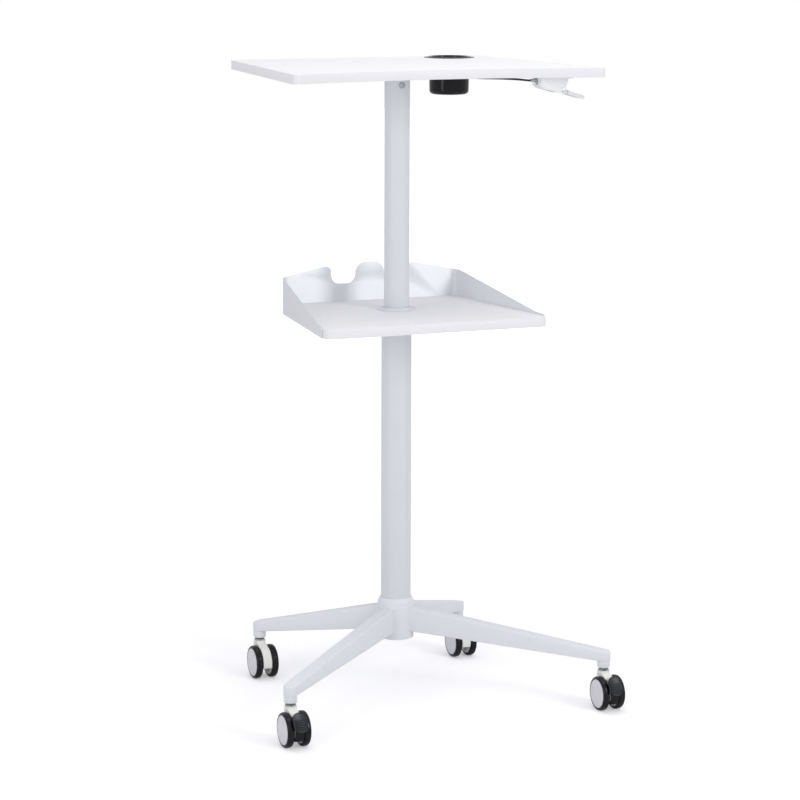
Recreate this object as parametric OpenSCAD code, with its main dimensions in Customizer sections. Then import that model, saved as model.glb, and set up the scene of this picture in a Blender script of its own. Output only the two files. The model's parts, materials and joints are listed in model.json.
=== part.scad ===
// A mobile standing workstation. Four legs on twin-wheel casters carry a gas-lift column, with a
// fixed shelf in a sheet surround and above it a desk that rises and sinks.
// Millimetres, +Z up, and the user stands on the -Y side. The origin is on the floor under the
// middle of the whole part, and the modules measure from the column's axis.

/* [Desktop] */
// Height of the desk's surface above the floor, with the column fully up
desk_height = 1260; // [1250:1:1300]
// Thickness of the desk board
desk_t = 18; // [16:0.5:25]
// Width of the desk along its front edge
desk_front_w = 640; // [620:1:700]
// Width of the desk along its back edge
desk_back_w = 534; // [520:1:600]
// Depth of the desk from front to back
desk_depth = 500; // [490:1:520]
// Reach of the desk behind the column's axis
desk_behind = 222; // [216:1:230]
// Corner radius of the desk in plan
desk_corner_r = 10; // [8:1:35]
// How far the front edge curves in at its middle
desk_sagitta = 50; // [20:1:60]

/* [Cup holder] */
// Distance from the desk's right front corner to the middle of the cup holder, measured along X
cup_side = 138; // [125:1:150]
// Distance from the desk's back edge to the middle of the cup holder
cup_inset = 59; // [56:1:75]
// Diameter of the hole in the desk
cup_hole_d = 85; // [84:0.5:90]
// Diameter of the brim that rests on the desk
cup_brim_d = 102.6; // [96:0.2:106]
// Thickness of the brim at its outer edge
cup_brim_edge_t = 0.8; // [0.5:0.1:1.2]
// Thickness of the brim where the raised ring starts
cup_brim_t = 1.6; // [1.3:0.1:2]
// Diameter of the raised ring round the mouth
cup_ring_d = 85; // [82:0.5:90]
// Height of the raised ring above the desk
cup_ring_h = 2.5; // [2.2:0.1:4]
// Outer diameter of the cup just under the brim
cup_top_d = 83; // [81:0.1:83.5]
// Outer diameter of the cup at its foot
cup_foot_d = 80; // [79:0.1:81]
// Depth of the cup's foot below the desk's surface
cup_drop = 74; // [60:1:76]
// Diameter of the straight well that takes a cup
cup_bore_d = 73; // [70:0.5:73.5]
// Thickness of the cup's floor
cup_floor_t = 2.5; // [1.5:0.1:4]
// Radius round the cup's foot
cup_foot_r = 8; // [5:0.5:10]

/* [Shelf board] */
// Height of the shelf's surface above the floor
shelf_height = 776; // [770:1:780]
// Thickness of the shelf board
shelf_t = 18; // [16:0.5:20]
// Width of the shelf along its front edge
shelf_front_w = 468; // [440:1:490]
// Width of the shelf along its back edge
shelf_back_w = 377; // [360:1:400]
// Depth of the shelf from front to back
shelf_depth = 355; // [330:1:360]
// Reach of the shelf behind the column's axis
shelf_behind = 141; // [130:1:150]
// Radius of the shelf's front corners
shelf_corner_r = 18; // [6:1:35]

/* [Shelf surround] */
// Thickness of the sheet that wraps the shelf
rim_t = 2; // [1.5:0.1:2.5]
// Inner radius of the sheet's two back bends
rim_bend_r = 15; // [10:1:25]
// Height of the sheet above the shelf's underside at its back bends
rim_corner_h = 72; // [66:1:76]
// Rise of the back panel's edge towards the middle, as a share of the distance
rim_rise_share = 0.2; // [0.15:0.01:0.24]
// Distance of each cable notch from the middle
notch_x = 57.5; // [54:0.5:62]
// Width of each cable notch
notch_w = 52; // [48:0.5:54]
// Height of the notches' floor above the shelf's underside
notch_floor_h = 54; // [50:1:55]
// Radius of the notches' lower corners
notch_r = 18; // [10:0.5:18]
// Radius of the lip outside each notch
notch_lip_r = 12; // [6:0.5:13]
// Height of the crest between the notches above the shelf's underside
crest_h = 96; // [95:1:100]
// Radius of the crest's two corners
crest_r = 23; // [10:0.5:23]
// Height of the cheeks above the shelf's underside where their slope ends
cheek_low_h = 22.5; // [20:0.5:28]
// Distance of that place behind the shelf's front edge
cheek_low_inset = 55; // [40:1:70]
// Height of the cheeks' front ends above the shelf's underside
cheek_tip_h = 21; // [19:0.5:22]
// Distance of the cheeks' front ends behind the shelf's front edge
cheek_inset = 20; // [3:0.5:24]
// Radius of the cheeks' upper front corners
cheek_tip_r = 6; // [2:0.5:9]
// Width of the flange that carries the board
rim_flange_w = 20; // [16:1:26]
// Distance of the flange's front ends behind the shelf's front edge
rim_flange_inset = 25; // [20:1:40]

/* [Column] */
// Outer diameter of the fixed outer tube
outer_tube_d = 60; // [58:0.5:61]
// Outer diameter of the sliding inner tube
inner_tube_d = 50; // [48.5:0.5:51]
// Wall of both tubes
tube_wall = 2; // [1.5:0.1:2.2]
// Travel of the desk from its highest place to its lowest
column_stroke = 330; // [250:1:330]
// Length of inner tube that stays in the outer tube with the column fully up
column_overlap = 126; // [122:1:140]
// Height of the outer tube's foot above the floor
column_foot_z = 124; // [122:0.5:128]
// Length of the upper guide bush, at the outer tube's mouth
upper_bush_h = 75; // [60:1:78]
// Length of the lower guide bush, on the inner tube's end
lower_bush_h = 40; // [30:1:44]
// Width of the rail that keeps the desk from turning
rail_w = 6; // [5:0.5:8]
// Thickness of the rail
rail_t = 2.2; // [1.5:0.1:2.4]
// Diameter of the trim ring round the column on the shelf
trim_ring_d = 78; // [72:0.5:84]
// Thickness of the trim ring's flange
trim_ring_t = 2; // [1.5:0.1:3]
// Height of the trim ring's collar above its flange
trim_collar_h = 3; // [2:0.5:6]

/* [Desk bracket] */
// Width of the plate under the desk
desk_plate_w = 160; // [150:1:170]
// Depth of the plate under the desk
desk_plate_d = 140; // [134:1:150]
// Thickness of the plate under the desk
desk_plate_t = 4; // [3:0.5:4.5]
// Corner radius of both plates
plate_corner_r = 10; // [4:1:14]
// Length of the spigot that fits in the inner tube
spigot_h = 40; // [38:1:50]

/* [Shelf bracket] */
// Width of the plate under the shelf
shelf_plate_w = 150; // [140:1:170]
// Depth of the plate under the shelf
shelf_plate_d = 120; // [110:1:130]
// Thickness of the plate under the shelf
shelf_plate_t = 3; // [2:0.5:4]
// Wall of the sleeve that is welded round the outer tube
sleeve_wall = 3.45; // [2.5:0.05:5]
// Length of the sleeve below the plate
sleeve_h = 25; // [20:1:30]

/* [Base] */
// Distance of the front casters' stems from the middle, to each side
front_stem_x = 330; // [310:1:350]
// Distance of the front casters' stems in front of the column's axis
front_stem_reach = 277; // [265:1:290]
// Distance of the rear casters' stems from the middle, to each side
rear_stem_x = 222; // [205:1:240]
// Distance of the rear casters' stems behind the column's axis
rear_stem_reach = 194; // [185:1:200]
// Diameter of the hub that the legs are welded to
hub_d = 72; // [70:0.5:78]
// Height of the hub's lower edge above the floor
hub_bottom_z = 109; // [107:0.5:111]
// Height of the hub's upper edge above the floor
hub_top_z = 192.5; // [188:0.5:200]
// Height of the bevel round the hub's top
hub_bevel_h = 7.5; // [4:0.5:10]
// Width of the bevel round the hub's top
hub_bevel_w = 4.5; // [2:0.5:4.5]
// Thickness of the plate that closes the hub under the column
hub_plate_t = 6; // [4:0.5:6.5]
// Width of each leg
leg_w = 27; // [26:0.5:32]
// Wall of the hollow legs
leg_wall = 2; // [1.5:0.1:3]
// Height of a leg's top at the hub
leg_root_top_z = 173.4; // [165:0.1:180]
// Height of a leg's underside at the hub
leg_root_bottom_z = 123.8; // [118:0.1:130]
// Height of a leg's top at its end
leg_tip_top_z = 115.3; // [112:0.1:120]
// Height of a leg's underside at its end
leg_tip_bottom_z = 94.7; // [92:0.1:97]
// Diameter of the boss under each leg's end
boss_d = 25.5; // [23:0.5:26]
// Height of the boss's lower face above the floor
boss_bottom_z = 81.5; // [80:0.1:83]
// Depth of the stem's socket in the boss and leg
socket_h = 26.5; // [20:0.5:27]

/* [Casters] */
// Diameter of the wheels
wheel_d = 68; // [66:0.5:69]
// Width of each tyre
tyre_w = 14; // [12:0.5:15]
// Radius of the tyres' shoulders
tyre_shoulder_r = 4; // [2:0.5:5]
// Diameter of the hub disc in each tyre
wheel_disc_d = 56; // [50:0.5:58]
// How far the hub disc is domed
wheel_dome = 0.8; // [0.4:0.1:1]
// Gap between a caster's two wheels
wheel_gap = 19.4; // [19:0.2:22]
// Distance of the wheels' axle in front of the stem
caster_trail = 19; // [18:0.5:21]
// Diameter of the wheels' axle
axle_d = 8; // [6:0.5:10]
// Length of the wheels' axle
axle_l = 40; // [36:0.5:41]
// Width of the caster's body between the wheels
chassis_w = 18; // [16:0.5:18.4]
// Radius of the caster's body round the axle
chassis_r = 31; // [29:0.5:31.5]
// Distance of the body's lower edge below the axle
chassis_skirt_h = 8; // [4:0.5:10]
// Diameter of the boss that holds the axle
axle_boss_d = 29; // [20:0.5:32]
// Length of the neck under the stem, front to back
neck_l = 24; // [22:0.5:25]
// Height of the caster's body at the stem
chassis_top_z = 75; // [74:0.5:76]
// Thickness of the round head of the caster's body
chassis_head_t = 6.5; // [5:0.1:7]
// Diameter of the pin that is pressed into the leg
stem_pin_d = 11; // [10:0.5:12]
// Diameter of the collar under the leg
stem_collar_d = 17; // [15:0.5:19]
// Thickness of the collar under the leg
stem_collar_t = 3.4; // [2.5:0.1:4]
// Diameter of the washer on the caster's body
stem_washer_d = 21; // [19:0.5:23]
// Diameter of the pin that the caster turns on
swivel_pin_d = 8; // [7:0.5:10]
// Length of the pin that the caster turns on
swivel_pin_l = 25; // [20:0.5:28]

/* [Brake pedals] */
// Width of the pedals
pedal_w = 28; // [26:0.5:32]
// Length of the pedals
pedal_l = 40; // [36:0.5:42]
// Thickness of the pedals
pedal_t = 4; // [3:0.1:4.5]
// Reach of the pedals' toes in front of the axle
pedal_reach = 46; // [45.5:0.1:48]
// Height of a pedal's middle above the axle
pedal_rise = 21.8; // [20:0.1:24]
// Lean of the pedals from level
pedal_lean = 57; // [54:1:60]
// Distance of the pedals' pivots in front of the axle
pedal_pivot_reach = 16; // [14:0.5:18]
// Height of the pedals' pivots above the axle
pedal_pivot_rise = 28; // [27:0.5:29]
// Diameter of the pedals' trunnions
trunnion_d = 4; // [3:0.5:5]
// Width of the arm that carries a pedal
pedal_arm_w = 10; // [8:0.5:11]

/* [Release lever] */
// Distance from the desk's right front corner to the lever housing's left end, along X
lever_side = 119.5; // [112:0.5:125]
// Distance of the lever's middle in front of the column's axis
lever_reach = 207; // [195:1:207]
// Length of the housing's flange under the desk
lever_flange_l = 69.5; // [68:0.5:76]
// Width of the housing's flange
lever_flange_w = 46; // [44:0.5:50]
// Thickness of the housing's flange
lever_flange_t = 3.5; // [3:0.1:3.8]
// Length of the housing, flange excepted
lever_l = 62; // [61:0.5:66]
// Width of the housing, flange excepted
lever_w = 40; // [38:0.5:42]
// Depth of the housing below the desk
lever_h = 33; // [32:0.5:35]
// Wall of the housing
lever_wall = 2.5; // [2:0.1:3]
// Length of the paddle from its pivot to its tip
paddle_l = 52; // [46:0.5:56]
// Width of the paddle's finger plate
paddle_w = 38; // [36:0.5:40]
// Thickness of the paddle
paddle_t = 8; // [7:0.1:9]
// Slope of the paddle at rest
paddle_slope = 17.6; // [14:0.1:20]
// Radius of the paddle's two tip corners
paddle_tip_r = 14; // [8:0.5:16]
// Swing of the paddle when it is lifted
paddle_swing = 15; // [10:0.5:16]
// Diameter of the knuckle round the paddle's pivot
paddle_knuckle_d = 10; // [9:0.5:11]
// Diameter of the lobes that carry the pivot
lever_lobe_d = 13; // [12:0.5:15]
// Diameter of the pivot pin
lever_pin_d = 5; // [4:0.5:6]
// Length of the arm that pulls the wire
pull_arm_l = 22; // [18:0.5:24]
// Width of the arm that pulls the wire
pull_arm_w = 12; // [8:0.5:14]
// Thickness of the arm that pulls the wire
pull_arm_t = 5; // [4:0.5:6]

/* [Release cable] */
// Diameter of the cable's sheath
cable_d = 4; // [3:0.5:4.5]
// Diameter of the wire in the cable
wire_d = 1.4; // [1:0.1:1.6]
// Diameter of the metal ferrule on each end
ferrule_d = 6; // [5.5:0.5:6]
// Length of the ferrule at the column
head_ferrule_l = 15; // [12:0.5:16]
// Length of the ferrule at the lever
lever_ferrule_l = 18; // [14:0.5:20]
// Length of that ferrule outside the housing's flange
lever_ferrule_out = 11.5; // [8:0.5:12]
// Depth of the cable's lever end below the desk board
lever_ferrule_drop = 7; // [6.8:0.1:8]
// Depth of the cable's column end below the desk's surface
cable_exit_drop = 29; // [28:0.5:31]
// How much the cable arches up under the desk
cable_arch = 6.4; // [4:0.1:6.4]

/* [Gas spring] */
// Outer diameter of the gas spring's cylinder
spring_d = 28; // [26:0.5:32]
// Wall of the cylinder
spring_wall = 2; // [1.5:0.1:2.5]
// Height of the gland in the cylinder's mouth
gland_h = 10; // [8:0.5:14]
// Thickness of the cylinder's floor
spring_floor_t = 6; // [4:0.5:8]
// Diameter of the threaded foot
spring_foot_d = 10; // [8:0.5:12]
// Diameter of the piston rod
rod_d = 10; // [9:0.5:12]
// Length of the piston
piston_h = 12; // [10:0.5:16]
// Gap left over the cylinder with the column fully down
spring_headroom = 14; // [10:0.5:16]
// Width across the foot nut's flats
nut_af = 19; // [17:0.5:22]
// Height of the foot nut
nut_h = 8.5; // [6:0.5:8.5]
// Diameter of the release pin in the rod
release_pin_d = 3; // [2.5:0.1:4]
// Travel of the release pin
release_travel = 2.5; // [2:0.1:2.5]

/* [Release head] */
// Diameter of the head on top of the rod
head_d = 38; // [36:0.5:40]
// Height of the head
head_h = 34; // [33:0.5:36]
// Thickness of the head's solid floor
head_floor_t = 8; // [7:0.5:9]
// Width of the slot for the arm
head_slot_w = 6; // [5.5:0.1:7]
// Thickness of the release arm
arm_t = 5.6; // [5:0.1:5.8]
// Distance of the arm's pivot left of the column's axis
arm_pivot_x = 9; // [8.5:0.1:9.5]
// Depth of the arm's pivot below the cable
arm_pivot_drop = 9; // [8.5:0.1:9.5]
// Diameter of the arm's pivot pin
arm_pin_d = 4; // [3:0.5:4.5]

/* [Fasteners] */
// Diameter of the wood screws' heads
screw_head_d = 9.5; // [8:0.5:10]
// Height of the wood screws' heads
screw_head_h = 2.6; // [2:0.1:3]
// Diameter of the wood screws' shanks
screw_d = 4.5; // [3.5:0.1:5]
// Reach of the wood screws into the boards
screw_bite = 12; // [10:0.5:14]
// Distance of the desk screws from the column's axis, to each side
desk_screw_x = 60; // [56:1:64]
// Distance of the desk screws from the column's axis, front and back
desk_screw_y = 58; // [54:1:60]
// Distance of the shelf screws from the column's axis, to each side
shelf_screw_x = 60; // [56:1:66]
// Distance of the shelf screws from the column's axis, front and back
shelf_screw_y = 48; // [44:1:50]
// Depth of the column's clamp screw below the desk's surface
clamp_screw_drop = 41; // [40:0.5:42]
// Diameter of the clamp screw's shank
clamp_screw_d = 6; // [5:0.5:8]
// Length of the clamp screw's shank
clamp_screw_l = 5.8; // [5:0.1:6]
// Diameter of the clamp screw's head
clamp_head_d = 11; // [10:0.5:12]
// Height of the clamp screw's head
clamp_head_h = 3.3; // [2.8:0.1:4]
// Diameter of the clamp screw's washer
clamp_washer_d = 13; // [12:0.5:14]
// Thickness of the clamp screw's washer
clamp_washer_t = 1; // [0.8:0.1:1.5]
// Width across the flats of the clamp screw's socket
clamp_socket_af = 4; // [3:0.5:5]

/* [Fits] */
// Play between round pieces that are fixed together, on the radius
seat_fit = 0.05; // [0.03:0.01:0.1]
// Play of a shaft in the bore that it turns or slides in, on the radius
run_fit = 0.05; // [0.02:0.01:0.1]
// Gap between neighbours that don't touch
edge_fit = 0.3; // [0.2:0.05:0.5]
// Gap beside pieces that swing between two walls
side_play = 0.5; // [0.3:0.05:0.8]

/* [Hidden] */
$fn = 72;

// Straight pieces in each rounded corner, and along the desk's curved front
arc_steps = 8;
front_steps = 24;
// Extra length that lets a cut run clear of what it cuts
overrun = 1;

// Side and end of each corner of the base
front_left = [-1, -1];
front_right = [1, -1];
rear_left = [-1, 1];
rear_right = [1, 1];
left = -1;
right = 1;

// The column's axis behind the origin, which is midway between the pedals and the desk's back
column_y = (front_stem_reach + caster_trail + pedal_reach - desk_behind) / 2;

// Desk
desk_bottom_z = desk_height - desk_t;
desk_front_y = desk_behind - desk_depth;
desk_arc_r = (pow(desk_front_w / 2, 2) + pow(desk_sagitta, 2)) / (2 * desk_sagitta);
cup_x = desk_front_w / 2 - cup_side;
cup_y = desk_behind - cup_inset;
cup_lead = 1;

// Shelf and its surround
shelf_bottom_z = shelf_height - shelf_t;
shelf_front_y = shelf_behind - shelf_depth;
shelf_taper = (shelf_front_w - shelf_back_w) / (2 * shelf_depth);
rim_bend_y = shelf_behind - rim_bend_r;
cheek_front_y = shelf_front_y + cheek_inset;
cheek_low_y = shelf_front_y + cheek_low_inset;
cheek_blend_r = 120;
rim_flange_front_y = shelf_front_y + rim_flange_inset;
notch_outer_x = notch_x + notch_w / 2;
notch_inner_x = notch_x - notch_w / 2;
notch_lip_h = rim_corner_h + (shelf_back_w / 2 - notch_outer_x) * rim_rise_share;
rim_screw_shares = [0.12, 0.5, 0.88];

// Column
outer_bore_r = outer_tube_d / 2 - tube_wall;
inner_tube_r = inner_tube_d / 2;
inner_tube_bottom_z = shelf_height - column_overlap;
inner_tube_top_z = desk_bottom_z - desk_plate_t;
upper_bush_bottom_z = shelf_height - upper_bush_h;
rail_end_gap = 3;
rail_bottom_z = inner_tube_bottom_z - column_stroke - rail_end_gap;
rail_top_z = upper_bush_bottom_z - rail_end_gap;
rail_play = 0.1;
trim_bevel = 0.8;
spigot_r = inner_tube_r - tube_wall - seat_fit;
clamp_screw_z = desk_height - clamp_screw_drop;
clamp_seat_y = inner_tube_r + seat_fit;
clamp_socket_h = clamp_head_h * 0.55;

// Gas spring and release head
head_bottom_z = inner_tube_top_z - head_h;
head_floor_z = head_bottom_z + head_floor_t;
spring_top_z = head_bottom_z - column_stroke - spring_headroom;
spring_floor_z = column_foot_z + spring_floor_t;
spring_bore_r = spring_d / 2 - spring_wall;
spring_foot_bottom_z = column_foot_z - hub_plate_t - nut_h + spring_wall;
piston_top_z = spring_top_z - gland_h - spring_wall;
cable_z = desk_height - cable_exit_drop;
arm_pivot = [-arm_pivot_x, cable_z - arm_pivot_drop];
arm_eye_r = arm_pin_d;
arm_nose_r = release_pin_d;
arm_stem_r = arm_t / 2 - edge_fit;
release_pin_top_z = head_floor_z + head_floor_t / 2;
release_pin_l = head_floor_t * 3.25;
arm_nose = [0, release_pin_top_z + edge_fit + arm_nose_r];
rod_top_z = release_pin_top_z - release_travel - edge_fit;
pin_bore_bottom_z = release_pin_top_z - release_pin_l - 2 * release_travel;

// Base
hub_r = hub_d / 2;
hub_bore_r = outer_tube_d / 2 + seat_fit;
wheel_r = wheel_d / 2;
wheel_x = (wheel_gap + tyre_w) / 2;
wheel_disc_r = wheel_disc_d / 2;

// Caster, in the plane across its axle: distance behind the stem and height
pedal_rib_h = pedal_t / 6;
axle_spot = [-caster_trail, wheel_r];
pedal_pivot = axle_spot + [-pedal_pivot_reach, pedal_pivot_rise];
pedal_middle = axle_spot + [
    pedal_l / 2 * cos(pedal_lean) + (pedal_t / 2 - pedal_rib_h) * sin(pedal_lean) - pedal_reach,
    pedal_rise
];
stem_collar_bottom_z = boss_bottom_z - stem_collar_t;
stem_washer_bottom_z = chassis_top_z + edge_fit;
swivel_bore_bottom_z = chassis_top_z - swivel_pin_l - edge_fit;
pedal_knuckle_r = trunnion_d * 1.1;
pedal_ear_r = trunnion_d * 1.35;
pedal_slot_r = pedal_knuckle_r * 2.7;
pedal_arm_r = pedal_t * 0.6;
pedal_rib_w = pedal_t * 0.45;
pedal_rib_shares = [0.08, 0.24, 0.4, 0.56];
trunnion_l = chassis_w - 2 * edge_fit;
chassis_shoulder_share = [-0.41, 0.9];

// Lever, from the housing's left end at the desk's underside: along and down
lever_x = desk_front_w / 2 - lever_side;
lever_profile_shares = [[0.04, 0], [0.04, 0.515], [0.14, 0.682], [0.773, 1], [0.86, 0.79], [1, 0]];
lever_corner_radii = [0, 0.4, 0.7, 1, 0.6, 0] * (lever_h / 8);
lever_pivot = [lever_l * 0.807, -lever_h * 0.79];
lever_mouth_x = lever_l * 0.37;
lever_mouth_h = lever_h * 0.545;
lever_slot_h = lever_h * 0.48;
lever_inner_w = lever_w - 2 * lever_wall;
paddle_neck_w = lever_inner_w - 2 * side_play;
paddle_plate_x = lever_lobe_d / 2 + 3 * lever_wall / 2;
paddle_profile_shares = [
    [0, 0.55], [0.3, 0.33], [0.52, 0.28], [0.8, 0.4], [0.96, 0.2], [1, -0.12],
    [0.95, -0.42], [0.75, -0.5], [0.36, -0.58], [0.24, -0.42], [0, -0.55]
];
paddle_corner_shares = [0, 1, 1, 1, 0.3, 0.15, 0.3, 1, 0.4, 0.4, 0];
pull_arm_root_r = pull_arm_t * 0.8;
paddle_cut_w = 2 * paddle_w;
pull_arm_end = lever_pivot + pull_arm_l * [-cos(paddle_swing / 2), sin(paddle_swing / 2)];
lever_screw_shares = [[0.3, -0.26], [0.3, 0.26], [0.62, 0]];
rivet_head_d = lever_pin_d * 1.6;
rivet_head_t = lever_pin_d * 0.24;

// Release cable: shares of its run to the right, of its run to the front and of its arch
cable_route_shares = [
    [0.14, 0.04, 0], [0.26, 0.155, 0.16], [0.33, 0.36, 0.48], [0.38, 0.65, 0.92],
    [0.47, 0.865, 1], [0.64, 0.975, 0.9], [0.83, 1, 0.5]
];
cable_start = [arm_pivot_x + arm_nose_r - edge_fit + head_ferrule_l, 0, cable_z];
cable_end = [lever_x - lever_ferrule_out, -lever_reach, desk_bottom_z - lever_ferrule_drop];
cable_steps = 3;
cable_sides = 10;
cable_hole_r = ferrule_d * 0.75;
ferrule_flange_t = ferrule_d / 4;
ferrule_flange_d = ferrule_d * 1.5;

// Vector helpers
function unit(v) = v / norm(v);
function turned(v, a) = [v[0] * cos(a) - v[1] * sin(a), v[0] * sin(a) + v[1] * cos(a)];
function mix(a, b, t) = a + (b - a) * t;

// Corner b between a and c, as an arc of radius r
function fillet(a, b, c, r) =
    let (
        u = unit(a - b),
        v = unit(c - b),
        half = acos(u * v) / 2,
        centre = b + unit(u + v) * r / sin(half),
        from = b + u * r / tan(half) - centre,
        to = b + v * r / tan(half) - centre,
        sweep = sign(cross(from, to)) * (180 - 2 * half)
    )
    [for (i = [0:arc_steps]) centre + turned(from, sweep * i / arc_steps)];

// Outline whose corners are rounded, each to its own radius, or left sharp at 0
function rounded(points, radii) =
    let (n = len(points))
    [for (i = [0:n - 1])
        each (radii[i] > 0
            ? fillet(points[(i + n - 1) % n], points[i], points[(i + 1) % n], radii[i])
            : [points[i]])];

// Convex outline moved in by d
function inset(points, d) =
    let (n = len(points))
    [for (i = [0:n - 1])
        let (
            u = unit(points[(i + n - 1) % n] - points[i]),
            v = unit(points[(i + 1) % n] - points[i])
        )
        points[i] + unit(u + v) * d / sin(acos(u * v) / 2)];

// Outline given by its right half, from the bottom up
function with_left_half(points) =
    concat(points, [for (i = [len(points) - 1:-1:0]) [-points[i][0], points[i][1]]]);
function with_left_radii(radii) = concat(radii, [for (i = [len(radii) - 1:-1:0]) radii[i]]);

// Half width of the shelf at y, for an edge that lies d outside the board's
function shelf_half_w(y, d) =
    shelf_back_w / 2 + (shelf_behind - y) * shelf_taper + d * norm([1, shelf_taper]);

// Plan of the shelf between y0 and its back edge, moved out by d
function shelf_outline(d, y0, front_r, back_r) =
    let (y1 = shelf_behind + d)
    rounded(
        [[-shelf_half_w(y0, d), y0], [shelf_half_w(y0, d), y0],
         [shelf_half_w(y1, d), y1], [-shelf_half_w(y1, d), y1]],
        [front_r, front_r, back_r, back_r]);

// Screws through the surround's flange
rim_screw_spots = [for (side = [left, right], share = rim_screw_shares)
    let (y = mix(rim_flange_front_y, rim_bend_y, share))
    [side * shelf_half_w(y, -rim_flange_w / 2), y]];
shelf_screw_spots = [for (x = [-1, 1], y = [-1, 1]) [x * shelf_screw_x, y * shelf_screw_y]];
desk_screw_spots = [for (x = [-1, 1], y = [-1, 1]) [x * desk_screw_x, y * desk_screw_y]];
lever_screw_spots = [for (s = lever_screw_shares)
    [lever_x + s[0] * lever_l, s[1] * lever_w - lever_reach]];

// Place of a caster's stem
function stem_spot(corner) = corner[1] < 0
    ? [corner[0] * front_stem_x, -front_stem_reach]
    : [corner[0] * rear_stem_x, rear_stem_reach];

// The cable's route, a Catmull-Rom curve through its points
cable_points = concat(
    [cable_start, cable_start + [cable_d, 0, 0]],
    [for (s = cable_route_shares) [
        mix(cable_start[0], cable_end[0], s[0]),
        mix(cable_start[1], cable_end[1], s[1]),
        mix(cable_start[2], cable_end[2], s[0]) + cable_arch * s[2]
    ]],
    [cable_end - [cable_d, 0, 0], cable_end]);
function spline(a, b, c, d, t) =
    (2 * b + (c - a) * t + (2 * a - 5 * b + 4 * c - d) * t * t + (3 * b - a - 3 * c + d) * t * t * t) / 2;
function route_point(i) = cable_points[max(0, min(len(cable_points) - 1, i))];
cable_path = concat(
    [for (i = [0:len(cable_points) - 2], k = [0:cable_steps - 1])
        spline(route_point(i - 1), route_point(i), route_point(i + 1), route_point(i + 2),
            k / cable_steps)],
    [cable_end]);

// Ring of points square to the route
function route_heading(i) = i == 0 || i == len(cable_path) - 1
    ? [1, 0, 0]
    : unit(cable_path[i + 1] - cable_path[i - 1]);
function cable_ring(i) =
    let (
        heading = route_heading(i),
        side = unit(cross(heading, [0, 0, 1])),
        up = cross(side, heading)
    )
    [for (k = [0:cable_sides - 1])
        cable_path[i] + cable_d / 2
            * (side * cos(360 * k / cable_sides) + up * sin(360 * k / cable_sides))];

// Places and directions
module on_column() {
    translate([0, column_y, 0]) children();
}

module at_stem(corner) {
    on_column() translate(stem_spot(corner)) children();
}

module raised(z) {
    translate([0, 0, z]) children();
}

// A plane shape of x and z, extruded evenly to both sides along y
module across_y(w) {
    rotate([90, 0, 0]) linear_extrude(height = w, center = true) children();
}

// A plane shape of y and z, extruded evenly to both sides along x
module across_x(w) {
    rotate([90, 0, 90]) linear_extrude(height = w, center = true) children();
}

// A round bar along x, from x0 to x1
module bar_x(r, x0, x1) {
    translate([x0, 0, 0]) rotate([0, 90, 0]) cylinder(h = x1 - x0, r = r);
}

// A round bar along y, evenly to both sides
module bar_y(r, w) {
    rotate([90, 0, 0]) cylinder(h = w, r = r, center = true);
}

module round_tube(z0, z1, outer_r, bore_r) {
    raised(z0) difference() {
        cylinder(h = z1 - z0, r = outer_r);
        raised(-overrun) cylinder(h = z1 - z0 + 2 * overrun, r = bore_r);
    }
}

// A flat link with an eye of its own radius at each end
module link(a, a_r, b, b_r) {
    n = turned(unit(b - a), 90);
    translate(a) circle(r = a_r);
    translate(b) circle(r = b_r);
    polygon([a + n * a_r, a - n * a_r, b - n * b_r, b + n * b_r]);
}

module rounded_plate(w, d, t) {
    linear_extrude(height = t)
        polygon(rounded(
            [[-w, -d] / 2, [w, -d] / 2, [w, d] / 2, [-w, d] / 2],
            [plate_corner_r, plate_corner_r, plate_corner_r, plate_corner_r]));
}

// A pan-head wood screw that points up, its head just under z = 0
module wood_screw(grip) {
    head_r = screw_head_d / 2;
    shank_r = screw_d / 2;
    rotate_extrude() polygon([
        [0, -screw_head_h], [head_r * 0.7, -screw_head_h], [head_r, -screw_head_h * 0.45],
        [head_r, 0], [shank_r, 0], [shank_r, grip + screw_bite - screw_d], [0, grip + screw_bite]
    ]);
}

// The hole that a wood screw bites in, from z = 0 up
module pilot() {
    raised(-overrun) cylinder(h = screw_bite + edge_fit + overrun, r = screw_d / 2 + seat_fit);
}

// The hole through the piece that a wood screw holds
module screw_hole(grip) {
    raised(-overrun) cylinder(h = grip + 2 * overrun, r = screw_d / 2 + edge_fit);
}

// Base
module base_hub() {
    color("WhiteSmoke") on_column() rotate_extrude() polygon([
        [hub_bore_r, hub_bottom_z], [hub_r, hub_bottom_z], [hub_r, hub_top_z - hub_bevel_h],
        [hub_r - hub_bevel_w, hub_top_z], [hub_bore_r, hub_top_z]
    ]);
}

// Side view of a leg, thinned by t all round, from the column's axis to x1
module leg_side(length, x1, t) {
    polygon([
        [0, leg_root_bottom_z + t], [hub_r, leg_root_bottom_z + t],
        [x1, mix(leg_root_bottom_z, leg_tip_bottom_z, (x1 - hub_r) / (length - hub_r)) + t],
        [x1, mix(leg_root_top_z, leg_tip_top_z, (x1 - hub_r) / (length - hub_r)) - t],
        [hub_r, leg_root_top_z - t], [0, leg_root_top_z - t]
    ]);
}

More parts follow.
